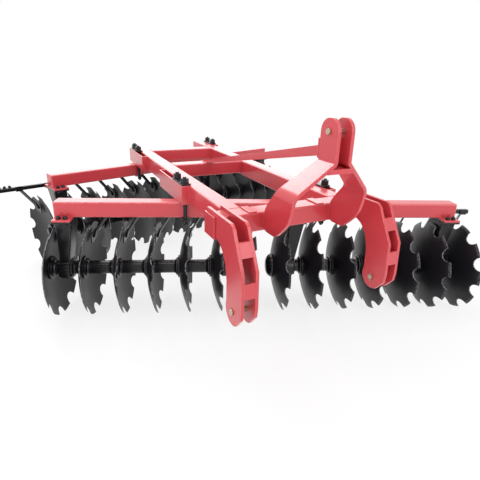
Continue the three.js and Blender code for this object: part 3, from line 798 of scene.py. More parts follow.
class Workshop:
    """Holds the finishes and the growing trees, and fits pieces to the machine."""

    bolt_seed = 7
    weld_seed = 3.0
    ripple = 0.3

    def __init__(self) -> None:
        """Builds every material and every tree once."""
        coat, wear_and_highlight_tree = coat_group(), wear_group()
        self.finishes = {kind: coating.build(coat, wear_and_highlight_tree) for kind, coating in COATINGS.items()}
        self.copies, self.fasteners, self.bead = copies_tree(), bolts_tree(), weld_tree()

    @staticmethod
    def settled(source: bpy.types.Object) -> bpy.types.Mesh:
        """An object's mesh with its modifiers applied."""
        graph = bpy.context.evaluated_depsgraph_get()
        return bpy.data.meshes.new_from_object(source.evaluated_get(graph), depsgraph=graph)

    def fit(
        self, name: str, mesh: bpy.types.Mesh, finish: Finish, body: str = FRAME,
        stands_for: Iterable[str] = (),
    ) -> None:
        """Finishes a mesh as a piece of the machine.

        Args:
            name: the piece's name.
            mesh: its mesh, already in place, which is used up.
            finish: its material slot.
            body: the body that it rides on.
            stands_for: the CAD nodes that it replaces.
        """
        mesh.materials.clear()
        mesh.materials.append(self.finishes[finish])
        mesh.shade_smooth()
        mesh.set_sharp_from_angle(angle=SMOOTH_LIMIT)
        source = bpy.data.objects.new(name, mesh)
        bpy.context.collection.objects.link(source)
        source.modifiers.new("even", "WEIGHTED_NORMAL").keep_sharp = True
        plain = self.settled(source)
        source.modifiers.clear()
        source.data = plain
        bpy.data.meshes.remove(mesh)
        plain.name = name
        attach(source, body)
        if stands_for:
            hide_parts(*stands_for)
        LOG.info("%s: %d faces", name, len(plain.polygons))

    def grow(
        self, tree: bpy.types.NodeTree, base: bpy.types.Mesh, finish: Finish, place: Matrix,
        settings: dict[str, Any],
    ) -> bpy.types.Mesh:
        """Runs a tree on a mesh.

        Args:
            tree: the tree.
            base: the mesh that it starts from, which is used up.
            finish: the finish of what it grows.
            place: where the result goes.
            settings: its other inputs by name.

        Returns:
            The result as a plain mesh.
        """
        settings = {**settings, "Material": self.finishes[finish]}
        holder = bpy.data.objects.new("holder", base)
        bpy.context.collection.objects.link(holder)
        modifier = holder.modifiers.new("grow", "NODES")
        modifier.node_group = tree
        for item in tree.interface.items_tree:
            if item.in_out == "INPUT" and item.name in settings:
                modifier[item.identifier] = settings[item.name]
        mesh = self.settled(holder)
        bpy.data.objects.remove(holder)
        bpy.data.meshes.remove(base)
        mesh.transform(place)
        return mesh

    def repeat(
        self, name: str, shape: Shape, count: int, step: float, place: Matrix,
        body: str = FRAME, stands_for: Iterable[str] = (),
    ) -> None:
        """Fits black copies of a shape along X.

        Args:
            name: the piece's name.
            shape: the shape.
            count: how many there are.
            step: the distance from each to the next.
            place: where the first one goes.
            body: the body that they ride on.
            stands_for: the CAD nodes that they replace.
        """
        mesh = self.grow(self.copies, shape.mesh(), Finish.BLACK, place,
                         {"Count": count, "Step": (step, 0.0, 0.0)})
        self.fit(name, mesh, Finish.BLACK, body, stands_for)

    def bolts(
        self, name: str, seats: Sequence[Seat], kind: Bolt, place: Matrix, body: str = FRAME,
    ) -> None:
        """Fits black bolts or nuts.

        Args:
            name: the piece's name.
            seats: the point that each sits on and the way out of it.
            kind: their size.
            place: where the seats' frame is.
            body: the body that they ride on.
        """
        base = bpy.data.meshes.new("seats")
        base.from_pydata([seat for seat, _ in seats], [], [])
        turns = base.attributes.new(TURN, "FLOAT_VECTOR", "POINT")
        for item, (_, out) in zip(turns.data, seats):
            item.vector = Vector(out).to_track_quat("Z", "Y").to_euler()
        size = kind.value
        mesh = self.grow(self.fasteners, base, Finish.BLACK, place, {
            "Across Flats": size.flats, "Head Height": size.head,
            "Washer Radius": size.washer, "Thread Radius": size.thread,
            "Thread Length": size.beyond, "Seed": self.bolt_seed})
        self.fit(name, mesh, Finish.BLACK, body)

    def welds(self, name: str, seams: Sequence[Seam], radius: float, place: Matrix) -> None:
        """Fits red weld beads to the frame.

        Args:
            name: the piece's name.
            seams: the open paths that they follow.
            radius: the bead's radius.
            place: where the seams' frame is.
        """
        points: Seam = []
        edges: list[tuple[int, int]] = []
        for seam in seams:
            start = len(points)
            points.extend(seam)
            edges.extend((i, i + 1) for i in range(start, len(points) - 1))
        base = bpy.data.meshes.new("seams")
        base.from_pydata(points, edges, [])
        mesh = self.grow(self.bead, base, Finish.RED, place, {
            "Radius": radius, "Ripple": radius * self.ripple, "Seed": self.weld_seed})
        self.fit(name, mesh, Finish.RED)


# ---------------------------------------------------------------------------------- places


def corners_of(name: str, place: Matrix) -> list[Vector]:
    """A CAD node's points in another frame."""
    inverse = place.inverted()
    return [inverse @ v.co for v in bpy.data.objects[name].data.vertices]


def reach(name: str, place: Matrix = HERE, heights: Pair = (-9.0, 9.0)) -> tuple[
        Vector, Vector]:
    """A CAD node's lowest and highest corners in another frame.

    Args:
        name: the node's name.
        place: the frame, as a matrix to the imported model's.
        heights: only points between these heights count.

    Returns:
        The two corners.
    """
    points = [p for p in corners_of(name, place) if heights[0] <= p.z <= heights[1]]
    return Vector(map(min, zip(*points))), Vector(map(max, zip(*points)))


def middle(ends: tuple[Vector, Vector]) -> float:
    """The mean X of two corners."""
    return (ends[0].x + ends[1].x) / 2


@dataclass(frozen=True)
class Machine:
    """The machine's own frame and the levels that its pieces share."""

    place: Matrix
    frame_bottom: float
    frame_top: float
    cross_bottom: float

    @classmethod
    def read(cls) -> Machine:
        """Reads the frame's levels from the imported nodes.

        Returns:
            The machine.
        """
        left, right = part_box("mast_left_leg")[0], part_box("mast_right_leg")[1]
        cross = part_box("front_crossbeam")[0]
        low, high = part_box("left_longitudinal")
        origin = Vector(((left.x + right.x) / 2, cross.y + Crossbeams.lip, 0))
        return cls(Matrix.Translation(origin), low.z, high.z, cross.z + Crossbeams.lip)


@dataclass(frozen=True)
class Gang:
    """One shaft of discs: its body, its side and its discs' numbers."""

    body: str
    side: Side
    discs: tuple[int, ...]


@dataclass(frozen=True)
class Row:
    """One row of two gangs in its own frame."""

    label: str
    place: Matrix
    axle_z: float
    facing: int
    gangs: tuple[Gang, ...]
    hangers: tuple[str, ...]

    @classmethod
    def read(cls, frame: dict[str, Any], label: str) -> Row:
        """Reads a row's frame from its left gang's joint.

        Args:
            label: front or rear.

        Returns:
            The row.
        """
        joint = next(j for j in frame["joints"] if j["name"] == f"{label}_left_gang_spin")
        x, y, z = joint["pos_m"]
        turn = math.atan2(joint["axis"][1], joint["axis"][0])
        place = Matrix.Translation((x, y, 0)) @ Matrix.Rotation(turn, 4, "Z")
        low, high = reach(f"{label}_disc_1", place)
        bodies = frame["record"]["behaviour"]["bodies"]
        gangs = []
        for side in Side:
            body = f"{label}_{side.word}_gang"
            numbers = sorted(int(n.rsplit("_", 1)[1]) for n in bodies[body] if "_disc_" in n)
            gangs.append(Gang(body, side, tuple(numbers)))
        hangers = sorted(n for n in frame["nodes"] if n.startswith(f"{label}_")
                         and "_hanger_" in n)
        return cls(label, place, z, 1 if high.x > -low.x else -1, tuple(gangs),
                   tuple(hangers))

    def apex(self, number: int) -> float:
        """Where a disc's flat middle stands along the row."""
        low, high = reach(f"{self.label}_disc_{number}", self.place)
        return low.x if self.facing > 0 else high.x

    def at(self, along: float, height: float = 0.0, backwards: bool = False) -> Matrix:
        """A place along the row, looking back along it if asked to."""
        turn = Matrix.Rotation(math.pi, 4, "Z") if backwards else HERE
        return self.place @ Matrix.Translation((along, 0, height)) @ turn


# ---------------------------------------------------------------------------------- gangs


@dataclass(frozen=True)
class Disc:
    """A dished disc with round notches and a ground rim."""

    radius: float = 0.305
    thickness: float = 0.006
    dish: float = 0.067
    flat: float = 0.080
    hole: float = 0.030
    lip: float = 0.002
    notches: int = 10
    notch_radius: float = 0.046
    notch_steps: int = 12
    land_steps: int = 4
    rings: int = 6
    ground: float = 0.012
    ground_depth: float = 0.0035
    ground_wear: float = 0.35
    phases: tuple[float, ...] = (0.0, 12.0, 24.0)

    def depth(self, radius: float) -> float:
        """How far the face stands ahead of the flat middle."""
        rise = max(radius, self.flat) ** 2 - self.flat ** 2
        return self.dish * rise / (self.radius ** 2 - self.flat ** 2)

    def outline(self, phase: float) -> list[Pair]:
        """The rim with its notches.

        Args:
            phase: its turn, in degrees.

        Returns:
            Its points as (angle, radius).
        """
        lip = math.pi / 2 - math.asin(self.notch_radius / 2 / self.radius)
        turn = 2 * math.pi / self.notches
        notch: list[Pair] = []
        for i in range(self.notch_steps + 1):
            swing = lip * (2 * i / self.notch_steps - 1)
            out = self.radius - self.notch_radius * math.cos(swing)
            along = self.notch_radius * math.sin(swing)
            notch.append((math.atan2(along, out), math.hypot(out, along)))
        half = notch[-1][0]
        span = (turn - 2 * half) / self.land_steps
        ring: list[Pair] = []
        for n in range(self.notches):
            here = -math.pi / 2 + math.radians(phase) + (n + 0.5) * turn
            ring.extend((here + angle, radius) for angle, radius in notch)
            ring.extend((here + half + span * i, self.radius)
                        for i in range(1, self.land_steps))
        return ring

    def section(self, rim: float, hollow: bool) -> list[Pair]:
        """One face from the hole out to the rim.

        Args:
            rim: the rim's radius there.
            hollow: whether it is the hollow face, and not the one with the ground edge.

        Returns:
            Its points as (x, radius).
        """
        edge = self.radius - self.ground
        last = min(rim - self.lip, edge)
        steps = [self.flat + (last - self.flat) * i / self.rings
                 for i in range(1, self.rings + 1)]
        points: list[Pair] = []
        for radius in (self.hole, self.flat, *steps, rim):
            x = self.depth(radius)
            if hollow:
                x += self.thickness
            elif radius > edge:
                x += self.ground_depth * (radius - edge) / self.ground
            points.append((x, radius))
        return points

    def shape(self, phase: float, facing: int) -> Shape:
        """The disc around X with its flat middle at X = 0.

        Args:
            phase: its turn, in degrees.
            facing: the way its hollow side looks along X.

        Returns:
            The shape.
        """
        bm = bmesh.new()
        layer = bm.faces.layers.float.new(WEAR_AND_HIGHLIGHT_MASK)
        outline = self.outline(phase)
        back, front = ([
            [bm.verts.new((facing * x, radius * math.cos(angle), radius * math.sin(angle)))
             for x, radius in self.section(rim, hollow)]
            for angle, rim in outline] for hollow in (False, True))
        last = len(back[0]) - 1
        for i, j in around(len(outline)):
            for grid in (back, front):
                for k in range(last):
                    face = bm.faces.new(
                        (grid[i][k], grid[j][k], grid[j][k + 1], grid[i][k + 1]))
                    if k == last - 1 and grid is back:
                        face[layer] = self.ground_wear
            rim = bm.faces.new((back[i][last], back[j][last], front[j][last], front[i][last]))
            rim[layer] = 1.0
            bm.faces.new((back[i][0], back[j][0], front[j][0], front[i][0]))
        return Shape().take(bm)


@dataclass(frozen=True)
class Spindle:
    """A square shaft with its spools, its end bell and its end nut."""

    pitch: float = 0.210
    gap: float = 0.0003
    square: float = 0.040
    bore: float = 0.024
    tube: float = 0.044
    flange: float = 0.075
    collar: float = 0.060
    bell: float = 0.080
    bell_length: float = 0.046
    washer: float = 0.060
    washer_length: float = 0.014
    lock: Point = (0.004, 0.068, 0.052)
    sides: int = 40

    def spool(self, disc: Disc) -> Shape:
        """One spool between two discs, from X = 0.

        Args:
            disc: the disc's sizes.

        Returns:
            The shape.
        """
        length = self.pitch - disc.thickness - 2 * self.gap
        half = [
            (0.0, self.bore), (0.0, self.flange), (0.010, self.flange), (0.0115, 0.066),
            (0.013, self.collar), (0.021, self.collar), (0.0235, 0.0545), (0.0275, 0.0485),
            (0.034, 0.0452), (0.045, self.tube)]
        mirror = [(length - x, radius) for x, radius in reversed(half)]
        return Shape().turned(half + mirror, self.sides)

    def end_bell(self) -> Shape:
        """The bell that closes the shaft ahead of the first disc, ending at X = 0.

        Returns:
            The shape.
        """
        profile = [(-self.bell_length, 0.012), (-self.bell_length + 0.001, 0.028)]
        profile += [
            (x - self.gap, radius) for x, radius in
            ((-0.041, 0.046), (-0.035, 0.059), (-0.027, 0.069), (-0.018, 0.076),
             (-0.008, self.bell), (0.0, self.bell), (0.0, self.bore))]
        return Shape().turned(profile, self.sides, cut=0.0015)

    def make(self, shop: Workshop, row: Row, gang: Gang, disc: Disc) -> None:
        """Makes one gang's spools, shaft, bell and nut.

        Args:
            shop: the workshop.
            row: the row.
            gang: the gang.
            disc: the disc's sizes.
        """
        backwards = row.facing < 0
        first = row.apex(gang.discs[-1] if backwards else gang.discs[0])
        here = row.at(first, row.axle_z, backwards)
        name = f"{row.label}_{gang.side.word}"
        count = len(gang.discs)
        start = here @ Matrix.Translation((disc.thickness + self.gap, 0, 0))
        shop.repeat(f"{name}_spools", self.spool(disc), count - 1, self.pitch, start,
                    gang.body, [f"{name}_axle"])
        end = (count - 1) * self.pitch + disc.thickness + self.gap
        lock = end + self.washer_length
        across = about(0, self.square)
        thick, wide, high = self.lock
        ends = self.end_bell()
        ends.block((-self.bell_length + 0.004, lock - 0.002), across, across, 0.002, 1)
        washer = [(end, self.bore), (end, self.washer), (lock, self.washer), (lock, self.bore)]
        ends.turned(washer, self.sides, cut=0.002)
        ends.block((lock, lock + thick), about(0, wide), about(0, high), 0.001, 1)
        shop.fit(f"{name}_shaft", ends.mesh(here), Finish.BLACK, gang.body)
        shop.bolts(f"{name}_shaft_nut", [((lock + thick, 0, 0), (1, 0, 0))], Bolt.SHAFT_NUT,
                   here, gang.body)


@dataclass(frozen=True)
class Hanger:
    """A leaning post that carries a bearing below a gang beam."""

    flange: Point = (0.110, 0.216, 0.012)
    foot: Pair = (0.052, 0.100)
    top: Pair = (0.100, 0.150)
    post_start: float = 0.052
    post_edge: float = 0.007
    saddle: Point = (0.076, 0.140, 0.016)
    saddle_z: float = 0.056
    housing: float = 0.072
    housing_half: float = 0.033
    cover: float = 0.061
    length: float = 0.090
    bore: float = 0.0452
    sides: int = 40
    bolts: Pair = (0.020, 0.080)
    screw_circle: float = 0.0655
    screws: tuple[float, ...] = (35, 145, 215, 325)

    def bearing(self) -> Shape:
        """The bearing's housing with its two covers, around X.

        Returns:
            The shape.
        """
        half, body, cut = self.length / 2, self.housing_half, 0.003
        side = [
            (-half, self.bore), (-half, self.cover - cut), (-half + cut, self.cover),
            (-body, self.cover), (-body, self.housing - cut), (-body + cut, self.housing)]
        bm = bmesh.new()
        rings = [[bm.verts.new(p) for p in circle(x, radius, self.sides, 0)]
                 for x, radius in (*side, *((-x, radius) for x, radius in reversed(side)))]
        for first, second in zip(rings, rings[1:] + rings[:1]):
            for i, j in around(self.sides):
                bm.faces.new((first[i], first[j], second[j], second[i]))
        return Shape().take(bm)

    def make(self, shop: Workshop, row: Row, name: str) -> None:
        """Makes one hanger with its bolts.

        Args:
            shop: the workshop.
            row: the row.
            name: the hanger's node.
        """
        low, high = reach(name, row.place)
        wide, deep, thick = self.flange
        foot = high.z - thick
        upper = reach(name, row.place, (foot - 0.001, high.z + 0.001))
        x_foot = middle(reach(name, row.place, (low.z - 0.001, row.axle_z)))
        up, out = foot - row.axle_z, middle(upper) - x_foot
        post = []
        for share in (self.post_start / up, 1.0):
            x_size, y_size = blend(self.foot, self.top, share)
            ring = rectangle(about(out * share, x_size), about(0, y_size))
            post.append([(x, y, up * share) for x, y in ring])
        shape = self.bearing().rings(post, self.post_edge)
        shape.block(about(out, wide), about(0, deep), (up, up + thick))
        shape.block(about(0, self.saddle[0]), about(0, self.saddle[1]),
                    about(self.saddle_z, self.saddle[2]), 0.003)
        place = row.at(x_foot, row.axle_z)
        shop.fit(f"{name}_post", shape.mesh(place), Finish.BLACK, stands_for=[name])
        x, y = self.bolts
        seats = [((out + sx * x, sy * y, up), (0, 0, -1)) for sx, sy in product(SIGNS, SIGNS)]
        shop.bolts(f"{name}_bolts", seats, Bolt.M16_HEAD, place)
        covers = [((sx * self.housing_half, self.screw_circle * math.cos(math.radians(angle)),
                    self.screw_circle * math.sin(math.radians(angle))), (sx, 0, 0))
                  for sx, angle in product(SIGNS, self.screws)]
        shop.bolts(f"{name}_cover_screws", covers, Bolt.M8_HEAD, place)


@dataclass(frozen=True)
class GangBeam:
    """A gang's square beam with the pads that its hangers bolt to."""

    width: float = 0.100
    corner: float = 0.010
    pad: Point = (0.110, 0.216, 0.012)
    sunk: float = 0.0008

    def make(self, shop: Workshop, row: Row, hanger: Hanger) -> tuple[Pair, float]:
        """Makes the beam, its pads, their nuts and their welds.

        Args:
            shop: the workshop.
            row: the row.
            hanger: the hanger's sizes, for the bolts.

        Returns:
            The beam's ends along the row, and the height of its underside.
        """
        name = f"{row.label}_gang_beam"
        top = reach(name, row.place)[1].z
        bottom = top - self.width
        low, high = reach(name, row.place, (bottom + 0.02, top + 0.01))
        shape = Shape().block((low.x, high.x), about(0, self.width), (bottom, top),
                              self.corner, 4)
        seats: list[Seat] = []
        seams: list[Seam] = []
        wide, deep, thick = self.pad
        for node in row.hangers:
            x = middle(reach(node, row.place, (bottom - 0.03, bottom)))
            left, right = about(x, wide)
            shape.block((left, right), about(0, deep), (bottom - thick, bottom + self.sunk))
            seats.extend(
                ((x + sx * hanger.bolts[0], sy * hanger.bolts[1], bottom + self.sunk),
                 (0, 0, 1)) for sx, sy in product(SIGNS, SIGNS))
            for sy in SIGNS:
                at = (sy * (self.width / 2 - 0.002), bottom + 0.002)
                seams.append([(max(left, low.x), *at), (min(right, high.x), *at)])
        shop.fit(f"{name}_tube", shape.mesh(row.place), Finish.RED, stands_for=[name])
        shop.bolts(f"{name}_nuts", seats, Bolt.M16_NUT, row.place)
        shop.welds(f"{name}_welds", seams, 0.004, row.place)
        return (low.x, high.x), bottom


@dataclass(frozen=True)
class ScraperBar:
    """The bar behind a gang beam, with an arm and a blade for each disc."""

    size: float = 0.030
    across: float = 0.150
    drop: float = 0.015
    clearance: float = 0.012
    arm: float = 0.010
    arm_width: float = 0.032
    lean: float = 0.100
    blade: float = 0.070
    inset: float = 0.092
    angle: float = 62.0
    post_width: float = 0.050
    post_plate: float = 0.012
    post_y: Pair = (0.0503, 0.060)
    post_rise: float = 0.060
    deck_bolt_y: float = 0.105
    spare_holes: int = 6
    spare_step: float = 0.035

    def arm_shape(self, row: Row, disc: Disc, z: float) -> tuple[Shape, float]:
        """One arm with its blade and its foot plate.

        Args:
            row: the row.
            disc: the disc's sizes.
            z: the height of the bar's middle.

        Returns:
            The shape, from a disc's flat middle, and how far ahead of that the arm's head is.
        """
        off = disc.thickness + self.clearance + self.arm / 2

        def ahead(y: float, height: float) -> float:
            """How far ahead of a disc's middle the blade stands at a point."""
            return row.facing * (off + disc.depth(math.hypot(y, height - row.axle_z)))

        distance, turn = disc.radius - self.inset, math.radians(self.angle)
        mid = (distance * math.cos(turn), row.axle_z + distance * math.sin(turn))
        low = (mid[0] + self.blade * 0.35, mid[1] - self.blade * 0.6)
        high = (mid[0] - self.blade * 0.35, mid[1] + self.blade * 0.5)
        side = self.blade / 3
        across = (ahead(mid[0] + side, mid[1] + side) - ahead(*mid), side, side)
        foot = ahead(*mid) + row.facing * self.arm * 0.8
        head = ahead(*mid) + row.facing * (self.arm + self.lean)
        knee = (foot + (head - foot) * 0.12, mid[0] + 0.004, mid[1] + 0.03)
        path = [(foot, mid[0] - 0.004, mid[1] - 0.014), knee, (head, self.across, z)]
        shape = Shape()
        for start, end in zip(path, path[1:]):
            shape.bar(start, end, self.arm_width, self.arm, (0, 1, -1), 0.001)
        shape.bar((ahead(*low), *low), (ahead(*high), *high), self.blade, self.arm * 0.8,
                  across, 0.0012)
        near = self.across - self.size / 2
        shape.block(about(head, 0.048), (near - 0.008, near), about(z, self.size + 0.008),
                    0.001, 1)
        return shape, head

    def posts(self, row: Row, name: str, deck: float) -> list[float]:
        """Where the beam carries the bar.

        Args:
            row: the row.
            name: the scrapers' node.
            deck: the height of the bar's top.

        Returns:
            The posts' places along the row, from the points above the bar.
        """
        groups: list[list[float]] = []
        for x in sorted(p.x for p in corners_of(name, row.place) if p.z > deck + 0.02):
            if groups and x - groups[-1][-1] < 0.06:
                groups[-1].append(x)
            else:
                groups.append([x])
        return [(g[0] + g[-1]) / 2 for g in groups]

    def make(
        self, shop: Workshop, row: Row, disc: Disc, pitch: float, beam: Pair, bottom: float,
    ) -> None:
        """Makes the bar with its posts, arms, blades and bolts.

        Args:
            shop: the workshop.
            row: the row.
            disc: the disc's sizes, for the blades.
            pitch: the distance between discs.
            beam: the beam's ends along the row.
            bottom: the height of the beam's underside.
        """
        name = f"{row.label}_scrapers"
        z = bottom - self.drop
        deck = z + self.size / 2
        one, head = self.arm_shape(row, disc, z)
        first = row.apex(row.gangs[0].discs[0])
        count = sum(len(gang.discs) for gang in row.gangs)
        shop.repeat(f"{name}_arms", one, count, pitch, row.at(first))
        low, high = reach(name, row.place, about(z, self.size + 0.002))
        shape = Shape().block((low.x, high.x), about(self.across, self.size),
                              about(z, self.size), 0.004)
        posts = self.posts(row, name, deck)
        for x in posts:
            wide, under = about(x, self.post_width), deck - self.post_plate
            shape.block(wide, (self.post_y[0], self.across), (under, deck), 0.001, 1)
            shape.block(wide, self.post_y, (under, bottom + self.post_rise), 0.001, 1)
        shop.fit(f"{name}_bar", shape.mesh(row.place), Finish.BLACK, stands_for=[name])
        back = self.across + self.size / 2
        seats: list[Seat] = [
            ((first + i * pitch + head + swing, back, z), (0, 1, 0))
            for i, swing in product(range(count), (-0.015, 0.015))]
        for i in range(self.spare_holes):
            x = low.x + 0.02 + i * self.spare_step
            if x < min(first, beam[0]) + head - 0.05:
                seats.append(((x, self.across, deck), (0, 0, 1)))
        for x in posts:
            seats.append(((x, self.post_y[1], bottom + 0.035), (0, 1, 0)))
            seats.append(((x, self.deck_bolt_y, deck), (0, 0, 1)))
        shop.bolts(f"{name}_nuts", seats, Bolt.M12_NUT, row.place)


@dataclass(frozen=True)
class Clamp:
    """The plates, legs and nuts that hold a gang beam under a longitudinal."""

    leg: float = 0.011
    leg_sides: int = 20
    plate: float = 0.010
    overlap: float = 0.022
    slack: float = 0.001

    def make(self, shop: Workshop, name: str) -> None:
        """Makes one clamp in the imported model's own frame.

        Args:
            shop: the workshop.
            name: the clamp's node.
        """
        low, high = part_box(name)
        foot = reach(name, heights=about(low.z, 2 * self.slack))
        top = reach(name, heights=about(high.z, 2 * self.slack))
        x, y = middle(foot), (low.y, high.y)
        shape = Shape().block((top[0].x, top[1].x), y, (high.z - self.plate, high.z), 0.0025)
        shape.block((foot[0].x, foot[1].x), y, (low.z, low.z + self.plate))
        legs = (low.y + self.overlap, high.y - self.overlap)
        for leg in legs:
            shape.rod(self.leg, (x, leg, low.z + self.slack), (x, leg, high.z - self.slack),
                      self.leg_sides)
        shop.fit(f"{name}_plates", shape.mesh(), Finish.BLACK, stands_for=[name])
        shop.bolts(f"{name}_nuts", [((x, leg, high.z), (0, 0, 1)) for leg in legs],
                   Bolt.M24_NUT, HERE)
        shop.bolts(f"{name}_heads", [((x, leg, low.z), (0, 0, -1)) for leg in legs],
                   Bolt.M20_HEAD, HERE)


# ---------------------------------------------------------------------------------- frame


@dataclass(frozen=True)
class Longitudinal:
    """A long tube of the frame with its two open pockets for the gang clamps."""

    outer: float = 0.390
    inner: float = 0.286
    corner: float = 0.010
    pocket: float = 0.048
    wall: float = 0.010

    def make(self, shop: Workshop, machine: Machine, side: Side) -> None:
        """Makes one longitudinal and its welds.

        Args:
            shop: the workshop.
            machine: the machine.
            side: the side that it is on.
        """
        name = f"{side.word}_longitudinal"
        sign = side.value
        low, high = reach(name, machine.place)
        bottom, top = machine.frame_bottom, machine.frame_top
        shape = Shape().block(sided(sign, self.inner, self.outer), (low.y, high.y),
                              (bottom, top), self.corner, 4)
        far = self.outer + self.pocket
        near, inside = self.outer - 0.001, far - self.wall
        seams: list[Seam] = []
        for y0, y1 in self.pockets(name, machine.place, far):
            y2, y3 = y0 + self.wall, y1 - self.wall
            outline = [(near, y0), (far, y0), (far, y1), (near, y1),
                       (near, y3), (inside, y3), (inside, y2), (near, y2)]
            shape.slab([(sign * x, y) for x, y in outline], (bottom, top), Plane.XY, 0.003)
            x = sign * (self.outer + 0.001)
            seams.extend([(x, y, bottom + 0.008), (x, y, top - 0.004)] for y in (y0, y1))
        shop.fit(f"{name}_tube", shape.mesh(machine.place), Finish.RED, stands_for=[name])
        shop.welds(f"{name}_welds", seams, 0.0035, machine.place)

    @staticmethod
    def pockets(name: str, place: Matrix, far: float) -> list[Pair]:
        """Where the two pockets run along the tube.

        Args:
            name: the longitudinal's node.
            place: the machine's frame.
            far: how far out their outer walls stand.

        Returns:
            Each pocket's two ends. Between them is the widest gap that no outer wall spans.
        """
        points = corners_of(name, place)
        outside, slack = far - 0.001, 1e-4
        walls = sorted({round(p.y, 5) for p in points if abs(p.x) > outside})
        spans = []
        for polygon in bpy.data.objects[name].data.polygons:
            face = [points[i] for i in polygon.vertices]
            if min(abs(p.x) for p in face) >= outside:
                spans.append((min(p.y for p in face) - slack, max(p.y for p in face) + slack))
        gaps = [
            0.0 if any(a <= start and end <= b for a, b in spans) else end - start
            for start, end in zip(walls, walls[1:])]
        gap = gaps.index(max(gaps))
        return [(walls[0], walls[gap]), (walls[gap + 1], walls[-1])]


@dataclass(frozen=True)
class Crossbeams:
    """The three tubes across the frame."""

    corner: float = 0.009
    cap: float = 0.010
    lip: float = 0.006
    inner: float = 0.286
    outer: float = 0.390
    strips: tuple[float, ...] = (-0.272, 0.142)
    strip_width: float = 0.044

    def capped(self, x: Pair, y: Pair, z: Pair) -> Shape:
        """The front tube with its end caps and the strips on its top.

        Args:
            x: its ends.
            y: the caps' front and back.
            z: the caps' bottom and top.

        Returns:
            The shape.
        """
        tube_y, tube_z = (y[0] + self.lip, y[1] - self.lip), (z[0] + self.lip, z[1] - self.lip)
        shape = Shape().block((x[0] + self.cap - 0.001, x[1] - self.cap + 0.001), tube_y,
                              tube_z, self.corner, 4)
        for ends in ((x[0], x[0] + self.cap), (x[1] - self.cap, x[1])):
            shape.block(ends, y, z)
        for at in self.strips:
            shape.block(about(at, self.strip_width), (tube_y[0] + 0.004, tube_y[1] - 0.004),
                        (tube_z[1] - 0.001, tube_z[1] + 0.006), 0.0015)
        return shape

    def make(self, shop: Workshop, machine: Machine) -> None:
        """Makes the crossbeams, their caps and their welds.

        Args:
            shop: the workshop.
            machine: the machine.
        """
        seams: list[Seam] = []
        for name in ("front_crossbeam", "middle_crossbeam", "rear_crossbeam"):
            x, y, z = zip(*reach(name, machine.place))
            if name == "front_crossbeam":
                shape = self.capped(x, y, z)
                front = y[1] - self.lip + 0.001
            else:
                shape = Shape().block(x, y, z, self.corner, 4)
                for sign, (edge, out) in product(SIGNS, zip(y, (-0.001, 0.001))):
                    at = (sign * (self.inner - 0.001), edge + out)
                    seams.append([(*at, z[0] + 0.006), (*at, z[1] - 0.006)])
            shop.fit(f"{name}_tube", shape.mesh(machine.place), Finish.RED, stands_for=[name])
        for sign, out in product(SIGNS, (self.inner, self.outer)):
            seams.append([(sign * out, front, machine.frame_bottom + 0.024),
                          (sign * out, front, machine.frame_top - 0.006)])
        shop.welds("crossbeam_welds", seams, 0.004, machine.place)


# ---------------------------------------------------------------------------------- hitch


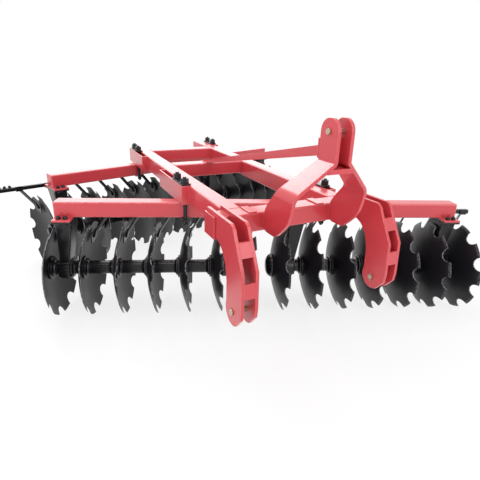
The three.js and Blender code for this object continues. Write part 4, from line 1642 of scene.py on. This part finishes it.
@dataclass(frozen=True)
class Mast:
    """The two folded legs, the brace and the top pin."""

    slot: float = 0.058
    plate: float = 0.018
    front: float = -0.295
    back: float = -0.175
    pin: float = 0.420
    bend: float = 0.285
    foot_x: float = 0.207
    foot_bend: float = 0.132
    gap: float = 0.0003
    pin_radius: float = 0.013
    tip_angles: tuple[float, ...] = (12, 20, 30, 40, 50, 60, 70, 80, 90)
    fold_steps: int = 8
    fold_limit: float = 40.0
    brace_seam: Pair = (0.025, 0.10)

    def run(self, machine: Machine) -> list[tuple[float, ...]]:
        """A leg's middle line from its tip down.

        Args:
            machine: the machine.

        Returns:
            Its points as (x, z, front, back).
        """
        x0, top = self.slot / 2 + self.plate / 2, machine.frame_top
        centre, half = (self.front + self.back) / 2, (self.back - self.front) / 2
        rows: list[tuple[float, ...]] = []
        for degrees in self.tip_angles:
            a = math.radians(degrees)
            swing = half * math.sin(a)
            rows.append((x0, top + self.pin + half * math.cos(a), centre - swing,
                         centre + swing))
        fall, side = self.bend - self.foot_bend, self.foot_x - x0
        low = machine.cross_bottom + 0.005
        corners = [
            ((x0, top + self.bend, self.front, self.back), 0.008),
            ((x0 + side * 0.55, top + self.bend - fall * 0.55, self.front + 0.025,
              self.back + 0.041), 0.06),
            ((self.foot_x, top + self.foot_bend, self.front + 0.046, self.back + 0.075), 0.03),
            ((self.foot_x, top + 0.040, self.front + 0.066, -0.022), 0.02),
            ((self.foot_x, top, self.front + 0.082, -self.gap), 0.02),
            ((self.foot_x, machine.cross_bottom + 0.060, self.front + 0.118, -self.gap), 0.02),
            ((self.foot_x, low + 0.010, self.front + 0.168, -self.gap), 0.008),
            ((self.foot_x, low, self.front + 0.190, -self.gap - 0.035), 0.0)]
        here = rows[-1]
        for (point, cut), (after, _) in zip(corners, corners[1:]):
            start, end = self.towards(point, here, cut), self.towards(point, after, cut)
            for k in range(self.fold_steps + 1):
                t = k / self.fold_steps
                rows.append(tuple((1 - t) ** 2 * a + 2 * t * (1 - t) * b + t * t * c
                                  for a, b, c in zip(start, point, end)))
            here = point
        return [*rows, corners[-1][0]]

    @staticmethod
    def towards(
        start: Sequence[float], end: Sequence[float], distance: float,
    ) -> tuple[float, ...]:
        """The row a distance from one row towards another, at most halfway."""
        length = math.hypot(end[0] - start[0], end[1] - start[1])
        return blend(start, end, min(distance / length, 0.48))

    def leg(self, machine: Machine, sign: int) -> Shape:
        """One leg, folded from a plate.

        Args:
            machine: the machine.
            sign: the side that it is on.

        Returns:
            The shape.
        """
        rows = self.run(machine)
        rings = []
        for i, (x, z, front, back) in enumerate(rows):
            before, after = rows[max(i - 1, 0)], rows[min(i + 1, len(rows) - 1)]
            along = Vector((after[0] - before[0], after[1] - before[1])).normalized()
            out = Vector((-along.y, along.x)) * (self.plate / 2)
            rings.append([
                (sign * (x + face * out.x), y, z + face * out.y)
                for face, y in ((-1, front), (1, front), (1, back), (-1, back))])
        return Shape().rings(rings, 0.0025, least=self.fold_limit)

    def make(self, shop: Workshop, machine: Machine) -> None:
        """Makes the mast.

        Args:
            shop: the workshop.
            machine: the machine.
        """
        seams: list[Seam] = []
        for side in Side:
            name = f"mast_{side.word}_leg"
            shop.fit(f"{name}_plate", self.leg(machine, side.value).mesh(machine.place),
                     Finish.RED, stands_for=[name])
            for edge in SIGNS:
                x = side.value * self.foot_x + edge * (self.plate / 2 + 0.001)
                seams.append([(x, -0.001, machine.cross_bottom + 0.02),
                              (x, -0.001, machine.frame_top - 0.006)])
        shop.fit("mast_brace_bar", softened_copy("mast_brace", 0.0025).mesh(), Finish.RED,
                 stands_for=["mast_brace"])
        half, length = self.brace_seam
        end, top = reach("mast_brace", machine.place)[1].y, machine.frame_top + 0.001
        seams.append([(-half, end - length, top), (-half, end, top), (half, end, top),
                      (half, end - length, top)])
        shop.welds("mast_welds", seams, 0.004, machine.place)
        at = ((self.front + self.back) / 2, machine.frame_top + self.pin)
        outer = self.slot / 2 + self.plate + self.gap
        pin = Shape().rod(self.pin_radius, (-outer - 0.001, *at), (outer + 0.014, *at))
        pin.rod(self.pin_radius + 0.001, (-outer - 0.010, *at), (-outer, *at))
        pin.split_pin((outer + 0.008, *at), 0.022)
        shop.fit("top_pin", pin.mesh(machine.place), Finish.PIN, stands_for=["top_link_pin"])


@dataclass(frozen=True)
class Clevis:
    """A lower hitch clevis of two hooked plates, with its straps and its pin."""

    inner: float = 0.387
    slot: float = 0.054
    plate: float = 0.017
    rise: float = 0.027
    pin_y: float = -0.200
    pin: float = -0.390
    nose: float = 0.070
    nose_ahead: float = 0.003
    nose_arc: Pair = (20, -122)
    front: tuple[Pair, ...] = (
        (-0.282, -0.392), (-0.288, -0.345), (-0.281, -0.168), (-0.184, 0.011))
    shoulder: float = 0.14
    crown: Pair = (-0.160, -0.140)
    throat: tuple[Pair, ...] = (
        (-0.035, -0.006), (-0.075, -0.032), (-0.110, -0.084), (-0.130, -0.160))
    straps: tuple[Pair, ...] = ((-0.290, -0.216), (-0.107, -0.047))
    strap: float = 0.014
    strap_skin: float = 0.0012
    depth: float = 0.110
    gap: float = 0.0003
    pin_radius: float = 0.014

    def outline(self, machine: Machine) -> list[Pair]:
        """A plate's outline.

        Args:
            machine: the machine.

        Returns:
            Its points as (y, z).
        """
        top, low = machine.frame_top, machine.cross_bottom
        inside = [(-self.gap, low + 0.004), *((y, low + z) for y, z in self.throat)]
        nose = arc((self.pin_y + self.nose_ahead, top + self.pin), self.nose, *self.nose_arc, 20)
        *edge, bend, tip = self.front
        shoulder = [blend(tip, bend, self.shoulder), tip, *((y, self.rise) for y in self.crown)]
        return [
            *smooth_path(inside, 5), *nose, *((y, top + z) for y, z in (*edge, bend)),
            *smooth_path([(y, top + z) for y, z in shoulder], 5), (self.depth, top + self.rise),
            (self.depth, top + self.gap), (-self.gap, top + self.gap)]

    def face_at(self, height: float) -> Pair:
        """The point of the front edge at a height above the frame's top.

        Args:
            height: the height.

        Returns:
            The point as (y, z).
        """
        for (y0, z0), (y1, z1) in zip(self.front, self.front[1:]):
            if z0 <= height <= z1:
                return (y0 + (y1 - y0) * (height - z0) / (z1 - z0), height)
        return self.front[-1]

    def make(self, shop: Workshop, machine: Machine, side: Side) -> None:
        """Makes one clevis with its pin.

        Args:
            shop: the workshop.
            machine: the machine.
            side: the side that it is on.
        """
        sign, word, top = side.value, side.word, machine.frame_top
        outer = self.inner + 2 * self.plate + self.slot
        cheeks = ((self.inner, self.inner + self.plate), (outer - self.plate, outer))
        outline = self.outline(machine)
        shape = Shape()
        for cheek in cheeks:
            rings = [[(x, y, z) for y, z in outline] for x in sided(sign, *cheek)]
            shape.rings(rings, 0.0025, least=30)
        inside = sided(sign, cheeks[0][1] - 0.001, cheeks[1][0] + 0.001)
        for strap in self.straps:
            (y0, z0), (y1, z1) = (self.face_at(height) for height in strap)
            shape.slab([(y0 + self.strap_skin, top + z0), (y0 + self.strap, top + z0),
                        (y1 + self.strap, top + z1), (y1 + self.strap_skin, top + z1)],
                       inside, Plane.YZ, 0.0015)
        shop.fit(f"{word}_clevis_plates", shape.mesh(machine.place), Finish.RED,
                 stands_for=[f"{word}_hitch_clevis"])
        seams: list[Seam] = []
        for cheek in cheeks:
            for face, out in zip(cheek, (-0.001, 0.001)):
                x = sign * (face + out)
                seams.append([(x, -0.001, machine.cross_bottom + 0.008),
                              (x, -0.001, top - 0.004)])
                seams.append([(x, 0.004, top + 0.0005), (x, self.depth - 0.006, top + 0.0005)])
        shop.welds(f"{word}_clevis_welds", seams, 0.0035, machine.place)
        at = (self.pin_y, top + self.pin)
        near, far = self.inner, outer + self.gap
        pin = Shape().rod(self.pin_radius, (sign * (near - 0.016), *at),
                          (sign * (far + 0.001), *at))
        pin.rod(self.pin_radius + 0.002, (sign * far, *at), (sign * (far + 0.009), *at))
        pin.split_pin((sign * (near - 0.009), *at), 0.024)
        shop.fit(f"{word}_clevis_pin", pin.mesh(machine.place), Finish.PIN,
                 stands_for=[f"{word}_hitch_pin"])


# ---------------------------------------------------------------------------------- studio


@dataclass(frozen=True)
class Lamp:
    """A soft square lamp."""

    name: str
    at: Point
    to: Point
    size: float
    power: float

    def make(self) -> None:
        """Makes the lamp, pointing from its place to its target."""
        data = bpy.data.lights.new(self.name, "AREA")
        data.shape = "SQUARE"
        data.size = self.size
        data.energy = self.power
        lamp = bpy.data.objects.new(self.name, data)
        lamp.location = self.at
        ahead = Vector(self.to) - Vector(self.at)
        lamp.rotation_euler = ahead.to_track_quat("-Z", "Y").to_euler()
        bpy.context.collection.objects.link(lamp)


@dataclass(frozen=True)
class Studio:
    """The floor, the lamps, the sky and the camera."""

    eye: Point = (-1.154, -1.573, 1.496)
    yaw: float = 27.964
    pitch: float = 19.088
    roll: float = 2.081
    lens: float = 28.944
    sensor: float = 36.0
    shift: Pair = (-0.01074, -0.04884)
    floor: Point = (0.93, 0.93, 0.93)
    floor_half: float = 40.0
    fade: Pair = (2.2, 4.2)
    pale: float = 0.78
    sky: float = 0.45
    lamps: tuple[Lamp, ...] = (
        Lamp("front", (1.4, -6.2, 3.4), (0.0, -0.4, 0.5), 5.0, 165.0),
        Lamp("top", (-0.6, 0.2, 5.6), (0.0, 0.2, 0.4), 5.0, 170.0),
        Lamp("back", (2.4, 8.0, 4.7), (0.0, 0.0, 0.8), 10.5, 540.0),
        Lamp("left", (-6.0, -2.6, 2.6), (-0.3, -0.3, 0.7), 4.0, 110.0),
        Lamp("sheen", (-1.65, 5.6, 6.6), (-0.15, -1.4, 1.1), 2.6, 150.0))

    def build(self, machine: Machine) -> None:
        """Builds the studio around the machine.

        Args:
            machine: the machine.
        """
        self.make_floor()
        self.make_sky()
        for lamp in self.lamps:
            lamp.make()
        self.make_camera(machine)

    def make_floor(self) -> None:
        """Makes a plain pale floor that runs to the horizon."""
        mesh = bpy.data.meshes.new("floor")
        span = about(0, 2 * self.floor_half)
        mesh.from_pydata([(x, y, 0) for x, y in rectangle(span, span)], [], [(0, 1, 2, 3)])
        floor = bpy.data.objects.new("floor", mesh)
        bpy.context.collection.objects.link(floor)
        material, sheet = new_material("pale_floor")
        matt = sheet.add("ShaderNodeBsdfDiffuse", in_Color=(*self.floor, 1))
        plain = sheet.add("ShaderNodeEmission", in_Color=(1, 1, 1, 1))
        where = sheet.add("ShaderNodeTexCoord").outputs["Object"]
        away = sheet.add("ShaderNodeVectorMath", operation="LENGTH", at_0=where)
        share = sheet.math("MAXIMUM", sheet.ramp(away.outputs["Value"], *self.fade), self.pale)
        mixed = sheet.add("ShaderNodeMixShader", at_0=sheet.times(share, self.seen(sheet)),
                          at_1=matt.outputs[0], at_2=plain.outputs[0])
        sheet.add("ShaderNodeOutputMaterial", in_Surface=mixed.outputs[0])
        mesh.materials.append(material)

    def make_sky(self) -> None:
        """Makes a sky that is white to the eye and in reflections, and plain as a light."""
        world = bpy.data.worlds.new("sky")
        bpy.context.scene.world = world
        world.use_nodes = True
        world.node_tree.nodes.clear()
        sheet = Sheet(world.node_tree)
        strength = sheet.math("MULTIPLY_ADD", self.seen(sheet), 1.0 - self.sky, self.sky)
        shade = sheet.add("ShaderNodeBackground", in_Color=(1, 1, 1, 1), in_Strength=strength)
        sheet.add("ShaderNodeOutputWorld", in_Surface=shade.outputs[0])

    @staticmethod
    def seen(sheet: Sheet) -> bpy.types.NodeSocket:
        """A mask of the rays that show the background as it is.

        Args:
            sheet: the sheet that it is made on.

        Returns:
            The mask.
        """
        path = sheet.add("ShaderNodeLightPath").outputs
        mask = sheet.math("MAXIMUM", path["Is Camera Ray"], path["Is Glossy Ray"])
        return sheet.math("MAXIMUM", mask, path["Is Transmission Ray"])

    def make_camera(self, machine: Machine) -> None:
        """Makes the camera, from its yaw, pitch and roll.

        Args:
            machine: the machine.
        """
        yaw, pitch, roll = (math.radians(a) for a in (self.yaw, self.pitch, self.roll))
        ahead = Vector((math.sin(yaw) * math.cos(pitch), math.cos(yaw) * math.cos(pitch),
                        -math.sin(pitch)))
        level = Vector((math.cos(yaw), -math.sin(yaw), 0))
        up = level.cross(ahead)
        right = level * math.cos(roll) + up * math.sin(roll)
        top = up * math.cos(roll) - level * math.sin(roll)
        data = bpy.data.cameras.new("camera")
        data.sensor_width = self.sensor
        data.lens = self.lens
        data.shift_x, data.shift_y = self.shift
        camera = bpy.data.objects.new("camera", data)
        turn = Matrix((right, top, -ahead)).transposed().to_4x4()
        camera.matrix_world = Matrix.Translation(machine.place @ Vector(self.eye)) @ turn
        bpy.context.collection.objects.link(camera)
        bpy.context.scene.camera = camera


# ---------------------------------------------------------------------------------- harrow


@dataclass
class Harrow:
    """The whole machine."""

    frame: dict[str, Any]
    shop: Workshop = field(default_factory=Workshop)
    disc: Disc = field(default_factory=Disc)
    spindle: Spindle = field(default_factory=Spindle)
    hanger: Hanger = field(default_factory=Hanger)

    def make_row(self, label: str) -> None:
        """Makes one row of gangs with its beam, hangers and scrapers.

        Args:
            label: front or rear.
        """
        row = Row.read(self.frame, label)
        phases = self.disc.phases
        shapes = [self.disc.shape(phase, row.facing) for phase in phases]
        for gang in row.gangs:
            for number in gang.discs:
                node = f"{label}_disc_{number}"
                shape = shapes[(number - 1) % len(phases)]
                place = row.at(row.apex(number), row.axle_z)
                self.shop.fit(f"{node}_dish", shape.mesh(place), Finish.DISC, gang.body,
                              [node])
            self.spindle.make(self.shop, row, gang, self.disc)
        for name in row.hangers:
            self.hanger.make(self.shop, row, name)
        beam, bottom = GangBeam().make(self.shop, row, self.hanger)
        ScraperBar().make(self.shop, row, self.disc, self.spindle.pitch, beam, bottom)

    def make(self, machine: Machine) -> None:
        """Makes every sub-assembly in order.

        Args:
            machine: the machine.
        """
        for label in ("front", "rear"):
            self.make_row(label)
            for side in Side:
                Clamp().make(self.shop, f"{label}_{side.word}_clamp")
        for side in Side:
            Longitudinal().make(self.shop, machine, side)
            Clevis().make(self.shop, machine, side)
        Crossbeams().make(self.shop, machine)
        Mast().make(self.shop, machine)


def main() -> None:
    """Builds the studio and the machine."""
    logging.basicConfig(level=logging.INFO, format="%(name)s: %(message)s")
    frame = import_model()
    bpy.context.scene.view_settings.view_transform = "Standard"
    machine = Machine.read()
    Studio().build(machine)
    Harrow(frame).make(machine)


if __name__ == "__main__":
    main()
